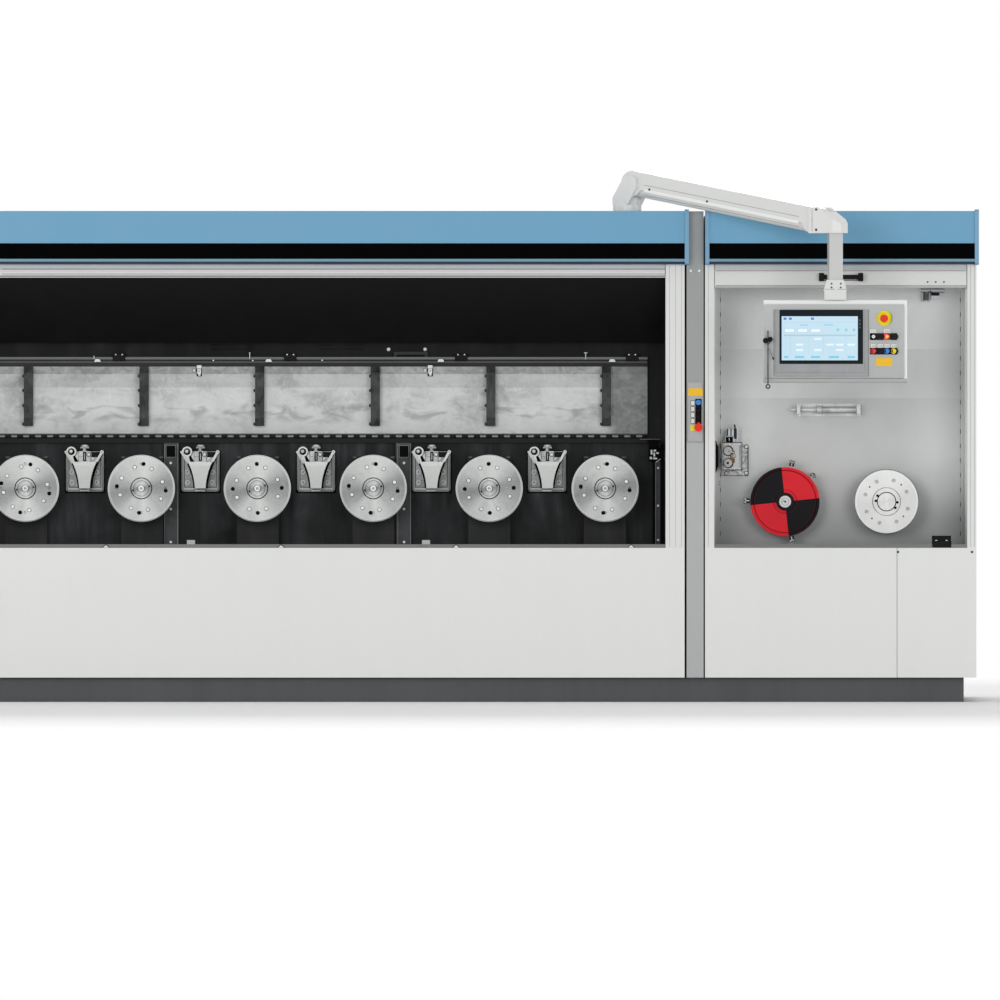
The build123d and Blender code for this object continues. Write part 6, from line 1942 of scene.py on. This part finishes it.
@dataclass
class SupportArm(Assembly):
    """Swivelling, lifting arm that carries the operator's panel."""

    base: Pair = (0.891, -0.720)
    turn: float = -35.0
    lift_pin: Pair = (0.060, 2.541)
    head_pin: Pair = (1.124, 2.346)
    face: float = -0.05
    cheek: float = -0.0605
    arm_top: float = 0.062
    line_drops: Pair = (0.057, 0.106)
    line_shares: Pair = (0.07, 0.925)
    highlight_drop: float = 0.084
    screw_shares: Pair = (0.1, 0.42)
    head_screws: tuple[Pair, ...] = ((1.152, 2.3985), (1.152, 2.3))
    head_seam: Point = (1.128, 2.292, 2.405)

    def place(self, reach: float, side: float, height: float) -> Point:
        """Place of a point in the arm's own upright plane.

        Args:
            reach: Way along the arm from the middle of its base.
            side: Way to the side of the plane.
            height: Height above the floor.

        Returns:
            The place in the machine.
        """
        turn = radians(self.turn)
        x = self.base[0] + reach * cos(turn) - side * sin(turn)
        y = self.base[1] + reach * sin(turn) + side * cos(turn)
        return (x, y, height)

    def along(self, share: float, up: float) -> Point:
        """Place on the arm's side, at a share of the way between its pins and a height over it."""
        run, rise = self.head_pin[0] - self.lift_pin[0], self.head_pin[1] - self.lift_pin[1]
        return self.place(self.lift_pin[0] + run * share, self.face, self.lift_pin[1] + rise * share + up)

    def coupling(self) -> None:
        """Four screws and a boss on the front of the panel's coupling."""
        low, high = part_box("panel_coupling")
        y = low.y
        screws = self.piece("coupling_screws", Slot.DARK, DARK_SCREW, Body.PANEL)
        for column in (831.6, 840.8):
            for row in (281.6, 285.4):
                screws.disc((SIGHT.x(column, y), y, SIGHT.z(row, y) - 0.01), 0.0042, 0.0046, 0.0015, 12)
        screws.block((low.x + 0.004, y - 0.0005, 2.0105), (high.x - 0.004, y, 2.012))
        boss = self.piece("coupling_boss", Slot.ARM, ARM_GREY, Body.PANEL)
        boss.lathe(((0.0, 0.0), (0.008, 0.0), (0.007, 0.004), (0.0, 0.005)),
                   (SIGHT.x(836.4, y), y, SIGHT.z(288.6, y) - 0.004), steps=16)

    def draw(self) -> None:
        """Dresses the arm's nodes and draws its joint lines, a painted highlight strip and screws."""
        dress_nodes({"arm_base": ARM_GREY, "arm_turret": ARM_GREY, "support_arm": ARM_GREY,
                     "arm_head": HEAD_PAINT, "panel_coupling": COUPLING_WHITE})
        out = Vector(self.place(0, -1, 0)) - Vector(self.place(0, 0, 0))
        lines = self.piece("arm_lines", Slot.ARM, EDGE_STEEL, Body.ARM)
        for drop in self.line_drops:
            start, end = (self.along(share, self.arm_top - drop) for share in self.line_shares)
            lines.beam(start, end, 0.0018, 0.0006, normal=out)
        # Painted highlight: a near-white strip along the arm's rounded lower part.
        bead = self.piece("arm_highlight_strip", Slot.ARM, HIGHLIGHT_WHITE, Body.ARM)
        start, end = (self.along(share, self.arm_top - self.highlight_drop) for share in self.line_shares)
        bead.beam(start, end, 0.015, 0.0016, 0.0007, out)
        screws = self.piece("arm_screws", Slot.DARK, DARK_SCREW, Body.ARM)
        for share in self.screw_shares:
            middle = Vector(self.along(share, -0.012))
            screws.rod(middle, middle + out * 0.003, 0.0055)
        heads = self.piece("head_screws", Slot.DARK, DARK_SCREW, Body.HEAD)
        for reach, height in self.head_screws:
            middle = Vector(self.place(reach, self.cheek, height))
            heads.rod(middle, middle + out * 0.002, 0.006)
        reach, low, high = self.head_seam
        seam = self.piece("head_seam", Slot.ARM, SEAM_GREY, Body.HEAD)
        start, end = (self.place(reach, self.cheek, height) for height in (low, high))
        seam.beam(start, end, 0.0016, 0.0005, normal=out)
        self.coupling()


@dataclass
class OperatorPanel(Assembly):
    """Operator's panel: display with a generic page, buttons with bare labels, stop button, hook and pen."""

    plate: float = -1.4824
    bezel: float = -1.4904
    glass: float = -1.4914
    page: tuple[float, float, float, float] = (781.7, 316.3, 857.8, 360.3)
    page_rise: float = 0.0004
    origin: Pair = (740.0, 290.0)
    enlarged: float = 6.0
    icons: tuple[Pair, ...] = ((270, 172), (302, 172), (435, 172))
    segments: tuple[tuple[Pair, Pair], ...] = (
        ((383, 210), (50, 5)), ((530, 210), (56, 5)), ((587, 239), (14, 14)), ((637, 239), (14, 14)),
        ((684, 239), (14, 14)), ((277, 402), (28, 12)), ((357, 402), (56, 12)), ((453, 402), (56, 12)),
        ((563, 402), (60, 12)), ((667, 402), (44, 12)))
    boxes: tuple[Pair, ...] = ((297, 243), (376, 243), (455, 243))
    fields: tuple[Pair, ...] = ((467, 293), (540, 328), (597, 328), (667, 328), (357, 328), (357, 360),
                                (467, 360), (597, 360))
    dividers: tuple[float, ...] = (302.0, 412.0, 498.0, 637.0)
    columns: tuple[float, ...] = (873.4, 880.3, 887.0, 893.8)
    rows: Pair = (336.6, 351.1)
    upper_labels: tuple[Pair, ...] = ((873.2, 331.2), (887.0, 331.0))
    lower_label_row: float = 346.0
    rims: tuple[tuple[str, float, float, Colour], ...] = (
        ("red", 873.4, 351.1, (226, 56, 60)), ("dark", 880.3, 351.1, (30, 29, 31)),
        ("blue", 887.0, 351.1, (74, 132, 210)), ("amber", 893.8, 351.1, (226, 208, 52)),
        ("violet", 880.3, 336.6, (58, 44, 56)), ("plum", 893.8, 336.6, (58, 44, 56)))
    keys: Point = (320.5, 324.0, 327.5)

    def part(self, name: str, slot: Slot, finish: Finish) -> Piece:
        """Starts a fine piece that rides on the panel."""
        return self.piece(name, slot, finish, Body.PANEL)

    def tile(self, piece: Piece, spot: Pair, size: Pair, rise: float = 0.0003) -> None:
        """Adds a flat tile on the page, placed in steps of the enlarged view.

        Args:
            piece: Piece that gets the tile.
            spot: Column and row of its middle.
            size: Width and height.
            rise: Thickness.
        """
        y = self.glass - self.page_rise
        across, down = (start + step / self.enlarged for start, step in zip(self.origin, spot))
        half = SIGHT.scale(y) / self.enlarged / 2
        piece.pad(SIGHT.at(across, down, y), (size[0] * half, size[1] * half), rise)

    def screen(self) -> None:
        """Lit page and its generic blocks."""
        left, top, right, bottom = self.page
        y = self.glass
        page = self.part("display_page", Slot.GLASS, ScreenGlow("page_glow", (187, 217, 233)))
        page.block((SIGHT.x(left, y), y - self.page_rise, SIGHT.z(bottom, y)), SIGHT.at(right, top, y))
        cyan = self.part("page_segments", Slot.GLASS, ScreenGlow("segment_glow", (96, 198, 222)))
        for spot, size in self.segments:
            self.tile(cyan, spot, size)
        blue = self.part("page_icons", Slot.GLASS, ScreenGlow("icon_glow", (66, 120, 190)))
        for spot in self.icons:
            self.tile(blue, spot, (18, 14))
        pale = self.part("page_fields", Slot.GLASS, ScreenGlow("field_glow", (226, 240, 247)))
        for spot in self.boxes:
            self.tile(pale, spot, (56, 20))
        for spot in self.fields:
            self.tile(pale, spot, (44, 12))
        grey = self.part("page_lines", Slot.GLASS, ScreenGlow("line_glow", (164, 194, 210)))
        self.tile(grey, (478, 195), (430, 1.6))
        self.tile(grey, (478, 272), (430, 9))
        for column in self.dividers:
            self.tile(grey, (column, 330), (1.6, 110))
        for spot in self.boxes:
            self.tile(grey, spot, (60, 24), 0.00015)

    def labels(self) -> None:
        """Stop button's collar, and the collars and bare labels of the buttons."""
        y = self.plate
        collar = self.part("stop_collar", Slot.BUTTON, LEMON)
        collar.washer(SIGHT.at(883.6, 318.2, y), 0.036, 0.033, 0.004, 48)
        yellow = self.part("blank_yellow_label", Slot.BUTTON, YELLOW)
        yellow.block((SIGHT.x(876, y), y - 0.001, SIGHT.z(366, y)), SIGHT.at(892, 358, y), 0.0005)
        marks = self.part("button_label_marks", Slot.FITTING, SEAM_GREY)
        black = self.part("button_collars", Slot.BLACK, BLACK_RUBBER)
        labels = self.part("button_labels", Slot.FITTING, BLANK_WHITE)
        for row in self.rows:
            for column in self.columns:
                black.pad(SIGHT.at(column, row, y), (0.0165, 0.0165), 0.004, 0.003)
        lower = tuple((column, self.lower_label_row) for column in self.columns)
        for width, spots in ((6.0, self.upper_labels), (5.4, lower)):
            half = width * SIGHT.scale(y) / 2
            for spot in spots:
                x, _, z = SIGHT.at(*spot, y)
                labels.pad((x, y, z), (half, 0.0085), 0.005, 0.0004)
                for share in (-0.5, 0.1, 0.6):
                    middle = x + half * share
                    marks.block((middle - 0.0015, y - 0.0054, z - 0.003),
                                (middle + 0.0025, y - 0.0048, z + 0.0025))

    def caps(self) -> None:
        """Lit button, the coloured rims and the key switch."""
        y = self.plate
        x, _, z = SIGHT.at(887.0, 336.6, y)
        lit = self.part("lit_button_frame", Slot.BUTTON, ScreenGlow("lamp_glow", (232, 60, 40), 0.8))
        lit.block((x - 0.0155, y - 0.005, z - 0.0155), (x + 0.0155, y - 0.0005, z + 0.0155), 0.002)
        lamp = self.part("lit_button_lamp", Slot.BUTTON, ScreenGlow("lamp_core", (255, 190, 80), 1.0))
        lamp.lathe(((0.0, 0.0), (0.0, 0.002), (0.005, 0.0015), (0.0075, 0.0), (0.0, 0.0)), (x, y - 0.014, z))
        for name, column, row, colour in self.rims:
            enamel = MouldedPlastic(f"{name}_rim", colour, 0.34, 0.1)
            rim = self.part(f"{name}_button_rim", Slot.BUTTON, enamel)
            rim.washer((SIGHT.x(column, y), y - 0.004, SIGHT.z(row, y)), 0.0142, 0.0105, 0.005, 28)
        key = self.part("key_switch", Slot.BRIGHT, BRIGHT_STEEL)
        x = SIGHT.x(873.4, y)
        key.washer((x, y - 0.014, z), 0.0085, 0.003, 0.002, 24)
        key.block((x - 0.0012, y - 0.0165, z - 0.0065), (x + 0.0012, y - 0.014, z + 0.0065), 0.0004)

    def hook_and_pen(self) -> None:
        """Two-lobed black knob and the pen that hang on the left edge of the panel."""
        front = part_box("threading_hook")[0].y
        knob = self.part("hook_knob", Slot.BLACK, BLACK_PLASTIC)
        for across, down, reach in ((765.6, 340.6, 0.0135), (770.2, 339.3, 0.0125)):
            knob.lathe(((0.0, 0.0), (reach, 0.0), (reach, 0.006), (reach * 0.6, 0.01), (0.0, 0.011)),
                       (SIGHT.x(across, front), front + 0.006, SIGHT.z(down, front)))
        y = front - 0.003
        tip = SIGHT.at(772.6, 357.2, y)
        knob.rod(tip, SIGHT.at(773.6, 359.6, y), 0.0034)
        pen = self.part("panel_pen", Slot.ALU, EDGE_STEEL)
        pen.rod(SIGHT.at(766.4, 343, y), tip, 0.0026)

    def frame_lines(self) -> None:
        """Shadow lines round the display frame and the plate, and the key outlines on the glass."""
        y = self.bezel
        lines = self.part("display_lines", Slot.ALU, EDGE_STEEL)
        lines.level((SIGHT.x(773.6, y), SIGHT.x(866, y)), SIGHT.z(372.5, y), 0.0008, y, 0.0004)
        for column in (775.4, 864.6):
            lines.upright(SIGHT.x(column, y), 0.0006, (SIGHT.z(371, y), SIGHT.z(309.6, y)), y, 0.0004)
        low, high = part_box("panel_display")
        for x in (low.x - 0.0015, high.x + 0.0015):
            lines.upright(x, 0.0015, (low.z, high.z), self.plate, 0.0006)
        low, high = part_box("panel_housing")
        lines.level((low.x + 0.004, high.x - 0.016), low.z + 0.022, 0.0015, self.plate, 0.0005)
        rim = self.part("glass_rim", Slot.GLASS, BLACK_PLASTIC)
        low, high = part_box("display_glass")
        for x in (low.x, high.x):
            rim.upright(x, 0.0008, (low.z, high.z), y, 0.0012, 0.0003)
        for z in (low.z, high.z):
            rim.level((low.x, high.x), z, 0.0008, y, 0.0012, 0.0003)
        keys = self.part("glass_key_outlines", Slot.GLASS, KEY_PRINT)
        for row in self.keys:
            keys.washer(SIGHT.at(859.8, row, self.glass), 0.004, 0.003, 0.0004, 16)

    def draw(self) -> None:
        """Dresses and draws the panel."""
        y = self.plate
        spots = (Spot(883.8, 318.2, y, 0.0375, (230, 214, 34)), Spot(884.1, 318.5, y, 0.0188, (228, 52, 44)),
                 Spot(887.2, 336.6, y, 0.0115, (236, 84, 40)), Spot(873.5, 351.1, y, 0.0115, (226, 56, 60)),
                 Spot(886.9, 351.1, y, 0.0115, (74, 132, 210)), Spot(893.8, 351.1, y, 0.0115, (226, 208, 52)))
        dress_nodes({"panel_housing": FrontTone("panel_paint", (168, 171, 169), (228, 230, 229), -1.4685),
                     "panel_display": DISPLAY_FRAME, "display_glass": GLASS,
                     "panel_buttons": SpottedPlastic("panel_caps", (13, 13, 14), spots),
                     "threading_hook": HOOK_STEEL})
        self.screen()
        self.labels()
        self.caps()
        self.hook_and_pen()
        self.frame_lines()


@dataclass
class Studio:
    """Pale floor, soft lamps and white surroundings."""

    floor_x: float = 14.0
    floor_front: float = -12.0
    floor_back: float = 9.0
    fade_start: float = 4.5
    fade_end: float = 8.0
    ambient: float = 0.42
    lamps: tuple[tuple[str, Point, Point, float, float], ...] = (
        ("key", (-4.0, -17.0, 3.6), (0.0, -0.4, 1.4), 6.0, 725.0),
        ("fill", (6.0, -17.0, 2.0), (0.0, -0.4, 1.4), 6.0, 590.0),
        ("left", (-15.0, -1.0, 4.0), (-2.6, 0.0, 1.3), 8.0, 330.0),
        ("right", (15.0, -1.0, 4.0), (2.6, 0.0, 1.3), 8.0, 330.0),
        ("top", (0.0, 0.0, 14.0), (0.0, 0.0, 2.0), 9.0, 420.0),
        ("back", (0.0, 14.0, 9.0), (0.0, 0.6, 1.4), 9.0, 800.0),
    )

    def surroundings(self) -> None:
        """World that looks white and lights softly."""
        world = bpy.data.worlds.new("studio")
        bpy.context.scene.world = world
        world.use_nodes = True
        tree = world.node_tree
        tree.nodes.clear()
        path = tree.nodes.new("ShaderNodeLightPath")
        seen = tree.nodes.new("ShaderNodeMath")
        either = tree.nodes.new("ShaderNodeMath")
        strength = tree.nodes.new("ShaderNodeMapRange")
        background = tree.nodes.new("ShaderNodeBackground")
        output = tree.nodes.new("ShaderNodeOutputWorld")
        seen.operation = "MAXIMUM"
        either.operation = "MAXIMUM"
        strength.inputs[3].default_value = self.ambient
        strength.inputs[4].default_value = 1.0
        background.inputs[0].default_value = (1, 1, 1, 1)
        for source, target in ((path.outputs["Is Camera Ray"], seen.inputs[0]),
                               (path.outputs["Is Transmission Ray"], seen.inputs[1]),
                               (path.outputs["Is Glossy Ray"], either.inputs[0]),
                               (seen.outputs[0], either.inputs[1]),
                               (either.outputs[0], strength.inputs[0]),
                               (strength.outputs[0], background.inputs[1]),
                               (background.outputs[0], output.inputs[0])):
            tree.links.new(source, target)

    def ground(self) -> None:
        """Pale floor that keeps the machine's shadow."""
        mesh = bpy.data.meshes.new("studio_floor")
        shape = bmesh.new()
        corners = ((-self.floor_x, self.floor_front), (self.floor_x, self.floor_front),
                   (self.floor_x, self.floor_back), (-self.floor_x, self.floor_back))
        shape.faces.new([shape.verts.new((x, y, 0.0)) for x, y in corners])
        shape.to_mesh(mesh)
        shape.free()
        floor = bpy.data.objects.new("studio_floor", mesh)
        bpy.context.scene.collection.objects.link(floor)
        paint = PaleFloor("floor_paint", (244, 244, 244), self.fade_start, self.fade_end)
        mesh.materials.append(paint.material())

    def lights(self) -> None:
        """Large soft lamps in front of, beside and behind the machine."""
        for name, place, aim, size, power in self.lamps:
            data = bpy.data.lights.new(name, "AREA")
            data.shape = "DISK"
            data.size = size
            data.energy = power
            lamp = bpy.data.objects.new(name, data)
            lamp.location = place
            lamp.rotation_euler = (Vector(aim) - Vector(place)).to_track_quat("-Z", "Y").to_euler()
            bpy.context.scene.collection.objects.link(lamp)

    def build(self) -> None:
        """Builds the studio."""
        self.surroundings()
        self.ground()
        self.lights()
        bpy.context.scene.view_settings.view_transform = "Standard"


def main() -> None:
    """Builds the machine's looks in order."""
    logging.basicConfig(level=logging.INFO, format="%(message)s")
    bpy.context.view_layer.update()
    for part in (Enclosure(), DrawingChamber(), Capstans(), DieHolders(), TiltCover(), TakeUp(),
                 PillarControls(), SupportArm(), OperatorPanel(), Studio()):
        part.build()
        log.info("built %s", type(part).__name__)
    SIGHT.place_camera()


if __name__ == "__main__":
    main()
